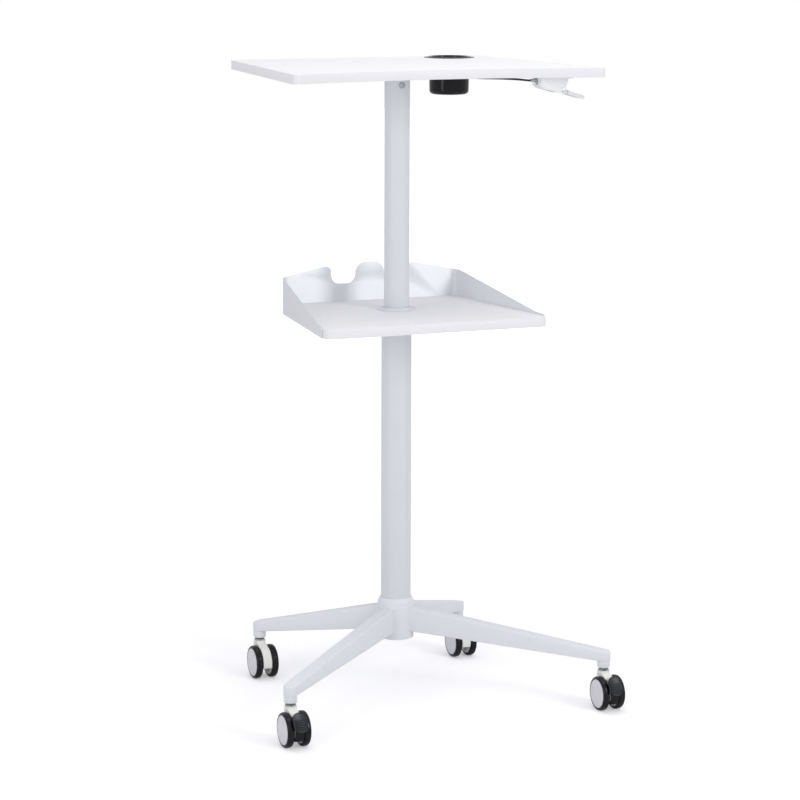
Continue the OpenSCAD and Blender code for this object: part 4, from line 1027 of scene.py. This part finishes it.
@dataclass
class Column:
    """The fixed and the sliding tube, with their guides, trim ring, gas spring and clamp screw."""

    wall: float = 2.0
    tube_edge: float = 0.35
    cable_hole_d: float = 9.0
    screw_hole_d: float = 6.2
    trim_outer_r: float = 39.0
    trim_t: float = 2.0
    trim_collar_r: float = 30.0
    trim_collar_h: float = 3.0
    trim_bore_r: float = 25.3
    trim_edge: float = 0.7
    washer_r: float = 6.5
    washer_t: float = 1.0
    washer_play: float = 0.1
    head_r: float = 5.5
    head_h: float = 3.3
    head_side_h: float = 0.7
    dome_drop: float = 1.6
    dome_span: tuple[float, float] = (34.0, 62.0)
    screw_edge: float = 0.2
    shank_r: float = 3.0
    shank_l: float = 5.8
    socket_af: float = 4.0
    socket_h: float = 1.8

    def build(self) -> None:
        """Make the tubes and everything on and in them."""
        self.tube("outer_column", "outer_tube")
        inner = self.tube("inner_column", "inner_tube")
        self.bore(inner)
        self.trim_ring()
        self.clamp_screw()
        dress_cad(ACETAL, "upper_guide_bush", "lower_guide_bush")
        dress_cad(BLACK_ENAMEL, "gas_spring_cylinder")
        dress_cad(CHROME, "gas_spring_rod")
        dress_cad(CAST_ALUMINIUM, "release_head")
        dress_cad(
            ZINC, "anti_rotation_rail", "gas_spring_nut", "hub_plate", "release_arm", "release_pin")

    def tube(self, node: str, name: str) -> bpy.types.Object:
        """Turn one tube to the box of its CAD node.

        Args:
            node: The CAD node.
            name: The piece's name.

        Returns:
            The dressed tube.
        """
        box = node_box(node)
        outer = box.size.x / 2 / MM
        section = ring_section(outer - self.wall, outer, box.low.z / MM, box.high.z / MM)
        tube = soften(turned(name, section, steps=128), self.tube_edge, segments=2)
        place(tube, (box.centre.x, box.centre.y, 0))
        dress(tube, GREY_POWDER, node)
        return tube

    def bore(self, tube: bpy.types.Object) -> None:
        """Drill the sliding tube for the cable on its right and for the screw on its front.

        Args:
            tube: The sliding tube.
        """
        radius = node_box("inner_column").size.x / 2
        axis = column_axis()
        cable = min(solid_boxes("cable_ferrules"), key=lambda box: box.centre.x)
        drill = bar("drill", self.cable_hole_d / 2, radius / MM)
        cut(tube, place(drill, (radius, axis.y, cable.centre.z), (0, 90, 0)))
        screw = node_box("column_screw").centre
        drill = bar("drill", self.screw_hole_d / 2, radius / MM)
        cut(tube, place(drill, (axis.x, axis.y - radius, screw.z), (90, 0, 0)))
        smooth(tube, angle=35)

    def trim_ring(self) -> None:
        """Turn the trim ring that lies on the shelf round the column."""
        box = node_box("column_trim_ring")
        top = self.trim_t + self.trim_collar_h
        outline = [
            (self.trim_bore_r, 0.0), (self.trim_outer_r, 0.0), (self.trim_outer_r, self.trim_t),
            (self.trim_collar_r, self.trim_t), (self.trim_collar_r, top), (self.trim_bore_r, top),
            (self.trim_bore_r, 0.0)]
        ring = soften(turned("column_trim", outline, steps=128), self.trim_edge)
        dress(place(ring, (box.centre.x, box.centre.y, box.low.z)), WHITE_ABS, "column_trim_ring")

    def clamp_screw(self) -> None:
        """Make the button-head screw and its washer on the front of the sliding tube."""
        box = node_box("column_screw")
        seat = column_axis().y - node_box("inner_column").size.x / 2
        base = self.washer_t
        section = ring_section(self.shank_r + self.washer_play, self.washer_r, 0.0, base)
        washer = soften(turned("washer", section, steps=64), self.screw_edge, segments=2)
        dome = arc(0.0, -self.dome_drop, self.head_h + self.dome_drop, *self.dome_span)
        reach = self.head_r / dome[0][0]
        lift = base + self.head_side_h - dome[0][1]
        outline = chamfered(
            (self.shank_r, base - self.shank_l), (self.shank_r, base),
            (self.head_r, base, self.screw_edge), *[(r * reach, z + lift) for r, z in dome])
        head = turned("head", outline, steps=64)
        key = bar("key", self.socket_af / math.sqrt(3), 2 * self.socket_h, steps=6)
        cut(head, place(key, (0, 0, outline[-1][1] * MM)))
        screw = joined("column_clamp_screw", [smooth(head, angle=30), washer])
        place(screw, (box.centre.x, seat, box.centre.z), (90, 0, 0))
        dress(screw, ZINC, "column_screw")


@dataclass
class Shelf:
    """The fixed shelf board, its sheet surround and its bracket."""

    edge: float = 1.3
    sheet_edge: float = 0.45
    bracket_edge: float = 0.6

    def build(self) -> None:
        """Make the board, the surround, the bracket and their screws."""
        laminate_board("shelf_board", "shelf_laminate_board", self.edge)
        eased("shelf_rim", "shelf_surround", GREY_POWDER, self.sheet_edge, segments=2)
        eased("shelf_bracket", "shelf_plate_and_sleeve", WHITE_POWDER, self.bracket_edge)
        WoodScrews().build("shelf_screws", "shelf_wood_screws")


@dataclass
class Base:
    """The hub with its four tapering box legs, welded and powder coated."""

    hub_r: float = 36.0
    hub_bore_r: float = 30.05
    hub_low: float = 109.0
    hub_high: float = 192.5
    bevel_h: float = 7.5
    bevel_w: float = 4.5
    hub_edge: float = 1.4
    leg_w: float = 27.0
    leg_edge: float = 2.4
    blank_h: float = 100.0
    root_low: float = 123.8
    root_high: float = 173.4
    tip_low: float = 94.7
    tip_high: float = 115.3
    tip_flat: float = 0.05
    tip_steps: int = 14
    boss_r: float = 12.75
    boss_bore_r: float = 5.6
    boss_sink: float = 4.0
    boss_edge: float = 0.9
    tuck: float = 4.0

    def build(self) -> None:
        """Make the hub and the legs."""
        axis = column_axis()
        outline = [
            (self.hub_bore_r, self.hub_low), (self.hub_r, self.hub_low),
            (self.hub_r, self.hub_high - self.bevel_h), (self.hub_r - self.bevel_w, self.hub_high),
            (self.hub_bore_r, self.hub_high), (self.hub_bore_r, self.hub_low)]
        hub = soften(turned("base_hub_ring", outline, steps=128), self.hub_edge, segments=4)
        dress(place(hub, axis), WHITE_POWDER, "base_hub")
        for corner in Corner:
            self.leg(corner, axis)

    def leg(self, corner: Corner, axis: Vector) -> None:
        """Make one leg along x and swing it to its corner.

        Args:
            corner: The leg's corner.
            axis: The column's axis.
        """
        stem = corner.stem().centre
        run = Vector((stem.x - axis.x, stem.y - axis.y))
        length = run.length / MM
        half_w = self.leg_w / 2
        start = self.hub_r - self.tuck
        end = length + half_w
        leg = block(f"{corner.title}_box_leg", (start, -half_w, 0), (end, half_w, self.blank_h))
        with editing(leg):
            for x in (start, end):
                share = (x - self.hub_r) / (length - self.hub_r)
                low = self.root_low + (self.tip_low - self.root_low) * share
                high = self.root_high + (self.tip_high - self.root_high) * share
                choose(leg, "verts", lambda v: abs(v.co.x - x * MM) < MM)
                bpy.ops.transform.resize(
                    value=(1, 1, (high - low) / self.blank_h), center_override=(x * MM, 0, 0))
                bpy.ops.transform.translate(value=(0, 0, low * MM))
        with editing(leg, "EDGE"):
            choose(leg, "edges", lambda e: all(v.co.x > (end - 1) * MM for v in e.verts)
                   and abs((e.verts[0].co - e.verts[1].co).z) > MM)
            bpy.ops.mesh.bevel(
                offset=(half_w - self.tip_flat) * MM, segments=self.tip_steps, affect="EDGES")
        soften(leg, self.leg_edge, segments=4, angle=40)
        section = ring_section(self.boss_bore_r, self.boss_r, BOSS_LOW, self.tip_low + self.boss_sink)
        boss = soften(turned("boss", section), self.boss_edge)
        place(boss, (length * MM, 0, 0))
        joined(leg.name, [leg, boss])
        place(leg, axis, (0, 0, math.degrees(math.atan2(run.y, run.x))))
        dress(leg, WHITE_POWDER, f"{corner.title}_leg")


@dataclass
class BrakePedal:
    """A front caster's pedal: an oval pad with a tray and ribs, on an arm with a trunnion."""

    pad_w: float = 28.0
    pad_l: float = 40.0
    pad_t: float = 3.33
    pad_edge: float = 0.45
    rim: float = 1.5
    tray_h: float = 1.2
    rib_h: float = 0.67
    rib_w: float = 1.7
    rib_reach: float = 0.36
    rib_root: float = 0.3
    rib_below: float = 0.02
    rib_edge: float = 0.4
    rib_shares: tuple[float, ...] = (-0.22, -0.06, 0.1, 0.26, 0.42, 0.58)
    reach: float = 46.0
    rise: float = 21.8
    lean: float = 57.0
    thickness: float = 4.0
    pivot_reach: float = 16.0
    pivot_rise: float = 28.0
    knuckle_r: float = 4.4
    arm_w: float = 10.0
    arm_end: tuple[float, float] = (0.9, 0.28)
    arm_edge: float = 0.6
    trunnion_r: float = 2.0
    trunnion_l: float = 17.4
    trunnion_edge: float = 0.3

    def build(self, corner: Corner) -> None:
        """Make the pedal of one corner.

        Args:
            corner: A braked corner.
        """
        axle = node_box(f"{corner.title}_axle").centre
        lean = math.radians(self.lean)
        middle_y = (
            self.pad_l / 2 * math.cos(lean)
            + (self.thickness / 2 - self.rib_h) * math.sin(lean) - self.reach)
        pad_place = axle + Vector((0, middle_y, self.rise)) * MM
        pivot = axle + Vector((0, -self.pivot_reach, self.pivot_rise)) * MM
        pad = place(self.pad(), pad_place, (self.lean, 0, 0))
        arm = self.arm(pivot, pad_place)
        knuckle = soften(bar("knuckle", self.knuckle_r, self.arm_w), self.arm_edge)
        trunnion = soften(
            bar("trunnion", self.trunnion_r, self.trunnion_l), self.trunnion_edge, segments=2)
        for round_part in (knuckle, trunnion):
            place(round_part, pivot, (0, 90, 0))
        pedal = joined(f"{corner.title}_pedal", [pad, arm, knuckle, trunnion])
        dress(pedal, PEDAL_NYLON, f"{corner.title}_brake_pedal")

    def pad(self) -> bpy.types.Object:
        """Shape the oval pad, its face up and its toe at -y.

        Returns:
            The pad at the origin.
        """
        pad = bar("pad", self.pad_w / 2, self.pad_t, steps=64)
        place(pad, (0, 0, (self.pad_t - self.thickness) / 2 * MM))
        stretch = (self.pad_l - self.pad_w) / 2
        with editing(pad):
            for way in (-1, 1):
                choose(pad, "verts", lambda v: v.co.y * way > MERGE)
                bpy.ops.transform.translate(value=(0, way * stretch * MM, 0))
        with editing(pad, "FACE"):
            choose(pad, "faces", lambda f: f.normal.z > 0.9)
            bpy.ops.mesh.inset(thickness=self.rim * MM)
            bpy.ops.mesh.extrude_region_move(
                TRANSFORM_OT_translate={"value": (0, 0, -self.tray_h * MM)})
        parts = [soften(pad, self.pad_edge)]
        top = self.pad_t - self.thickness / 2
        half_l = self.pad_w * self.rib_reach
        for share in self.rib_shares:
            y = -share * self.pad_l / 2
            low = (-half_l, y - self.rib_w / 2, top - self.tray_h - self.rib_root)
            high = (half_l, y + self.rib_w / 2, top + self.rib_h - self.rib_below)
            parts.append(soften(block("rib", low, high), self.rib_edge))
        return joined("pad", parts)

    def arm(self, pivot: Vector, pad_place: Vector) -> bpy.types.Object:
        """Shape the arm between the pivot and the pad.

        Args:
            pivot: The trunnion's middle.
            pad_place: The pad's middle.

        Returns:
            The arm in its place.
        """
        run = pad_place - pivot
        length = run.length / MM
        half_w = self.arm_w / 2
        end_w, end_h = self.arm_end
        arm = block("arm", (-half_w, 0, -self.knuckle_r), (half_w, length, self.knuckle_r))
        with editing(arm):
            choose(arm, "verts", lambda v: v.co.y > length / 2 * MM)
            bpy.ops.transform.resize(
                value=(end_w, 1, end_h), center_override=(0, length * MM, 0))
        soften(arm, self.arm_edge)
        return place(arm, pivot, (math.degrees(math.atan2(run.z, run.y)), 0, 0))


@dataclass
class Casters:
    """Four twin-wheel casters: stems, bodies, wheels, and brake pedals on the front two.

    Corners of the disc's hidden face are given by their radius and their height over the wheel's
    inner side, and those of its rim by their distance from the disc's edge and their height over
    the wheel's outer side.
    """

    tyre_r: float = 34.0
    tyre_w: float = 14.0
    shoulder_r: float = 4.0
    crown: float = 0.35
    crown_drop: float = 0.12
    crown_flat: float = 0.4
    lip_w: float = 1.6
    lip_foot_w: float = 1.0
    lip_h: float = 0.5
    play: float = 0.05
    disc_r: float = 27.95
    disc_back: tuple[tuple[float, float], ...] = (
        (4.05, 0.0), (9.0, 0.0), (9.6, 1.5), (20.5, 2.5), (21.5, 0.0))
    disc_rim: tuple[tuple[float, float], ...] = (
        (0.0, -0.15), (0.3, 0.15), (1.5, 0.15), (1.9, -0.35), (2.2, -0.35))
    dome: float = 0.8
    dome_inset: float = 2.6
    dome_shares: tuple[float, ...] = (1, 0.92, 0.8, 0.6, 0.4, 0.2, 0.05)
    body_edge: float = 2.0
    block_r: float = 32.8
    block_w: float = 17.4
    block_depth: float = 12.0
    block_span: tuple[float, float] = (-17.0, 9.0)
    block_edge: float = 0.8
    core_r: float = 1.0
    swivel_r: float = 3.95
    swivel_cut: float = 0.6
    washer_r: float = 10.5
    washer_gap: float = 0.3
    washer_cuts: tuple[float, float] = (0.3, 0.4)
    groove_w: float = 0.4
    groove_h: float = 0.5
    collar_r: float = 8.5
    collar_t: float = 3.4
    collar_cut: float = 0.3
    pin_r: float = 5.45
    pin_cut: float = 0.8
    pedal: BrakePedal = field(default_factory=BrakePedal)

    def build(self) -> None:
        """Make one wheel and copy it to the eight places, then the rest of each caster."""
        tyre = self.tyre()
        disc = self.disc()
        for corner in Corner:
            for side in WheelSide:
                stub = f"{corner.title}_{side.title}"
                centre = node_box(f"{stub}_tyre").centre
                turn = (0, 90 * side.way, 0)
                ring = place(twin(tyre, f"{stub}_tread_ring"), centre, turn)
                dress(ring, TREAD, f"{stub}_tyre")
                hub = place(twin(disc, f"{stub}_wheel_disc"), centre, turn)
                dress(hub, WHEEL_DISC, f"{stub}_hub")
            node = f"{corner.title}_caster_body"
            body = from_cad(node, f"{corner.title}_hood")
            soften(body, self.body_edge, segments=4, angle=35)
            if corner.braked:
                body.data.materials.append(CREAM_NYLON.material())
                joined(body.name, [body, self.brake_block(corner)])
            dress(body, CREAM_NYLON, node)
            dress_cad(ZINC, f"{corner.title}_axle")
            if corner.braked:
                self.pedal.build(corner)
        throw_away(tyre, disc)
        self.stems()

    def brake_block(self, corner: Corner) -> bpy.types.Object:
        """Shape the black block that the pedal pushes on, round the front of the caster's body.

        Args:
            corner: A braked corner.

        Returns:
            The block in its place.
        """
        far = 2 * self.block_r
        rear = self.block_depth - self.block_r
        low, high = self.block_span
        shoe = bar("brake_block", self.block_r, self.block_w, steps=96)
        place(shoe, (0, 0, 0), (0, 90, 0))
        for (y_low, y_high), (z_low, z_high) in (
                ((rear, far), (-far, far)), ((-far, 0), (high, far)), ((-far, 0), (-far, low))):
            cut(shoe, block(
                "cutter", (-self.block_w, y_low, z_low), (self.block_w, y_high, z_high)))
        soften(shoe, self.block_edge)
        shoe.data.materials.append(TREAD.material())
        return place(shoe, node_box(f"{corner.title}_axle").centre)

    def tyre(self) -> bpy.types.Object:
        """Turn the tyre about z, its outer side up.

        Returns:
            The tyre at the origin.
        """
        half = self.tyre_w / 2
        bore = self.disc_r + self.play
        shoulder = self.tyre_r - self.crown - self.shoulder_r
        edge = half - self.shoulder_r
        slope = self.tyre_r - self.crown_drop
        lip_low = half - self.lip_h
        outline = [
            (bore, -half), *arc(shoulder, -edge, self.shoulder_r, -90, 0, parts=7),
            (slope, -edge / 2), (self.tyre_r, -self.crown_flat), (self.tyre_r, self.crown_flat),
            (slope, edge / 2), *arc(shoulder, edge, self.shoulder_r, 0, 90, parts=7),
            (self.disc_r + self.lip_w, half), (self.disc_r + self.lip_foot_w, lip_low),
            (bore, lip_low), (bore, -half)]
        return smooth(turned("tyre_pattern", outline), angle=50)

    def disc(self) -> bpy.types.Object:
        """Turn the wheel disc about z, its outer side up.

        Returns:
            The disc at the origin.
        """
        half = self.tyre_w / 2
        dome_r = self.disc_r - self.dome_inset
        outline = [(radius, height - half) for radius, height in self.disc_back]
        outline.append((self.disc_r, -half))
        outline += [(self.disc_r - inset, half + height) for inset, height in self.disc_rim]
        outline += [(dome_r * s, half + self.dome * (1 - s * s)) for s in self.dome_shares]
        return smooth(turned("disc_pattern", outline), angle=24)

    def stems(self) -> None:
        """Turn the four stems as one piece, dark collars over bright washers."""
        box = node_box("caster_stems")
        low = box.low.z / MM
        high = box.high.z / MM
        washer_low = node_box("front_left_caster_body").high.z / MM + self.washer_gap
        washer_high = BOSS_LOW - self.collar_t
        groove_r = self.collar_r - self.groove_w
        groove_high = washer_high + self.groove_h
        outline = chamfered(
            (self.core_r, low), (self.swivel_r, low, self.swivel_cut), (self.swivel_r, washer_low),
            (self.washer_r, washer_low, self.washer_cuts[0]),
            (self.washer_r, washer_high, self.washer_cuts[1]), (groove_r, washer_high),
            (groove_r, groove_high), (self.collar_r, groove_high + self.groove_w),
            (self.collar_r, BOSS_LOW, self.collar_cut), (self.pin_r, BOSS_LOW),
            (self.pin_r, high, self.pin_cut), (self.core_r, high))
        pattern = smooth(turned("stem_pattern", outline, steps=64), angle=30)
        for finish in (ZINC, PASSIVATED_ZINC):
            pattern.data.materials.append(finish.material())
        for face in pattern.data.polygons:
            face.material_index = 1 if face.center.z > washer_high * MM + MERGE else 0
        stems = []
        for corner in Corner:
            centre = corner.stem().centre
            stems.append(place(twin(pattern, "stem"), (centre.x, centre.y, 0)))
        throw_away(pattern)
        dress(joined("swivel_stems", stems), ZINC, "caster_stems")


@dataclass
class ReleaseLever:
    """The lever under the desk's right front: housing, paddle, pivot pin and screws."""

    housing_edge: float = 1.2
    paddle_edge: float = 1.5
    pin_edge: float = 0.35

    def build(self) -> None:
        """Make the lever's pieces."""
        for node, name, finish, edge in (
                ("lever_housing", "lever_case", WHITE_ABS, self.housing_edge),
                ("release_paddle", "finger_paddle", GREY_ABS, self.paddle_edge)):
            eased(node, name, finish, edge, segments=4, angle=35)
        eased("lever_pivot_pin", "paddle_pivot_pin", ZINC, self.pin_edge)
        WoodScrews().build("lever_screws", "lever_wood_screws")


@dataclass
class ReleaseCable:
    """The cable from the lever to the gas spring's head, held by a ferrule at each end.

    Its ends are in mm from the foot of the column's axis. Each of route_shares is a point between
    them: its share of the way along, its share of the way to the front, and its share of the arch.
    """

    sheath_d: float = 4.0
    wire_d: float = 1.4
    start: tuple[float, float, float] = (26.7, 0.0, 1231.0)
    end: tuple[float, float, float] = (189.0, -207.0, 1235.0)
    arch: float = 6.4
    lead: float = 4.0
    route_shares: tuple[tuple[float, float, float], ...] = (
        (0.14, 0.04, 0.0), (0.26, 0.155, 0.16), (0.33, 0.36, 0.48), (0.38, 0.65, 0.92),
        (0.47, 0.865, 1.0), (0.64, 0.975, 0.9), (0.83, 1.0, 0.5))
    head_ferrule_l: float = 15.0
    lever_ferrule_l: float = 18.0
    lever_ferrule_out: float = 11.5
    ferrule_r: float = 3.0
    ferrule_cut: float = 0.3
    ferrule_play: float = 0.05
    crimps: tuple[float, ...] = (2.0, 4.6)
    crimp_h: float = 0.35
    crimp_w: float = 0.6
    flange_r: float = 4.5
    flange_t: float = 1.5
    flange_cut: float = 0.2
    pull_end: tuple[float, float] = (228.7, 1218.9)
    pull_clearance: float = 2.8
    stub: float = 25.0

    def points(self) -> list[Vector]:
        """Give the route's own points, in mm from the column's axis.

        Returns:
            The points from the column to the lever.
        """
        start = Vector(self.start)
        end = Vector(self.end)
        lead = Vector((self.lead, 0, 0))
        run = end - start
        between = [
            start + Vector((run.x * along, run.y * across, run.z * along + self.arch * rise))
            for along, across, rise in self.route_shares]
        return [start, start + lead, *between, end - lead, end]

    def path(self, parts: int = 8) -> list[Vector]:
        """Draw the smooth curve through the route's points.

        Args:
            parts: How many straight parts lie between two points.

        Returns:
            Points of the curve in metres, in the part's frame.
        """
        points = self.points()
        last = len(points) - 1
        axis = column_axis()
        curve = []
        for i in range(last):
            a, b, c, d = (points[max(0, min(last, i + k))] for k in (-1, 0, 1, 2))
            for step in range(parts):
                t = step / parts
                spot = (2 * b + (c - a) * t + (2 * a - 5 * b + 4 * c - d) * t * t
                        + (3 * b - a - 3 * c + d) * t * t * t) / 2
                curve.append(axis + spot * MM)
        curve.append(axis + points[-1] * MM)
        return curve

    def tube(self, name: str, route: Sequence[Vector], diameter: float) -> bpy.types.Object:
        """Sweep a round tube along a route.

        Args:
            name: The piece's name.
            route: Points in metres.
            diameter: The tube's diameter in mm.

        Returns:
            The tube as a mesh.
        """
        curve = bpy.data.curves.new(name, "CURVE")
        curve.dimensions = "3D"
        curve.bevel_depth = diameter / 2 * MM
        curve.bevel_resolution = 5
        curve.use_fill_caps = True
        spline = curve.splines.new("POLY")
        spline.points.add(len(route) - 1)
        for point, spot in zip(spline.points, route):
            point.co = (*spot, 1)
        pick(linked(name, curve))
        bpy.ops.object.convert(target="MESH")
        return smooth(bpy.context.active_object, angle=45)

    def build(self) -> None:
        """Make the sheath, the wire at its ends and the two ferrules."""
        axis = column_axis()
        start = axis + Vector(self.start) * MM
        end = axis + Vector(self.end) * MM
        ferrule_end = end + Vector((self.lever_ferrule_l * MM, 0, 0))
        eye = axis + Vector((self.pull_end[0], self.end[1], self.pull_end[1])) * MM
        pull = eye - ferrule_end
        wire_end = ferrule_end + pull * (1 - self.pull_clearance * MM / pull.length)
        head_wire = [start - Vector((self.stub * MM, 0, 0)), start + Vector((MM, 0, 0))]
        lever_wire = [end - Vector((MM, 0, 0)), ferrule_end, wire_end]
        sheath = self.tube("cable_sheath", self.path(), self.sheath_d)
        wires = [self.tube("wire", route, self.wire_d) for route in (head_wire, lever_wire)]
        for wire in wires:
            wire.data.materials.append(ZINC.material())
        sheath.data.materials.append(CABLE_PVC.material())
        dress(joined("bowden_cable", [sheath, *wires]), CABLE_PVC, "release_cable")
        self.ferrules(start, end)

    def ferrules(self, start: Vector, end: Vector) -> None:
        """Turn the two ferrules, the one at the lever with a flange.

        Args:
            start: The cable's end at the column.
            end: Its end at the lever.
        """
        head = turned("head_ferrule", self.crimped(self.head_ferrule_l), steps=48)
        place(head, start - Vector((self.head_ferrule_l * MM, 0, 0)), (0, 90, 0))
        out = self.lever_ferrule_out
        flange_low = out - self.flange_t
        flange = chamfered(
            (self.ferrule_r, flange_low), (self.flange_r, flange_low, self.flange_cut),
            (self.flange_r, out, self.flange_cut), (self.ferrule_r, out))
        body = self.crimped(self.lever_ferrule_l)
        lever = turned("lever_ferrule", body[:-4] + flange + body[-4:], steps=48)
        place(lever, end, (0, 90, 0))
        both = smooth(joined("cable_end_ferrules", [head, lever]), angle=35)
        dress(both, ZINC, "cable_ferrules")

    def crimped(self, length: float) -> Outline:
        """Give a ferrule's closed half section, with two crimps near its first end.

        Args:
            length: Its length in mm.

        Returns:
            The outline. Its last four corners are its far end and its bore.
        """
        bore = self.wire_d / 2 + self.ferrule_play
        waist = self.ferrule_r - self.crimp_h
        crimps = [
            (radius, crimp + steps * self.crimp_w) for crimp in self.crimps
            for radius, steps in ((self.ferrule_r, 0), (waist, 1), (waist, 2), (self.ferrule_r, 3))]
        return chamfered(
            (bore, 0.0), (self.ferrule_r, 0.0, self.ferrule_cut), *crimps,
            (self.ferrule_r, length, self.ferrule_cut), (bore, length), (bore, 0.0))


def main() -> None:
    """Build the studio and every sub-assembly."""
    logging.basicConfig(level=logging.INFO, format="%(name)s: %(message)s")
    for assembly in (Studio(), ReleaseCable(), Desk(), CupHolder(), Column(), Shelf(), Base(),
                     Casters(), ReleaseLever()):
        LOG.info("building %s", type(assembly).__name__)
        assembly.build()


if __name__ == "__main__":
    main()
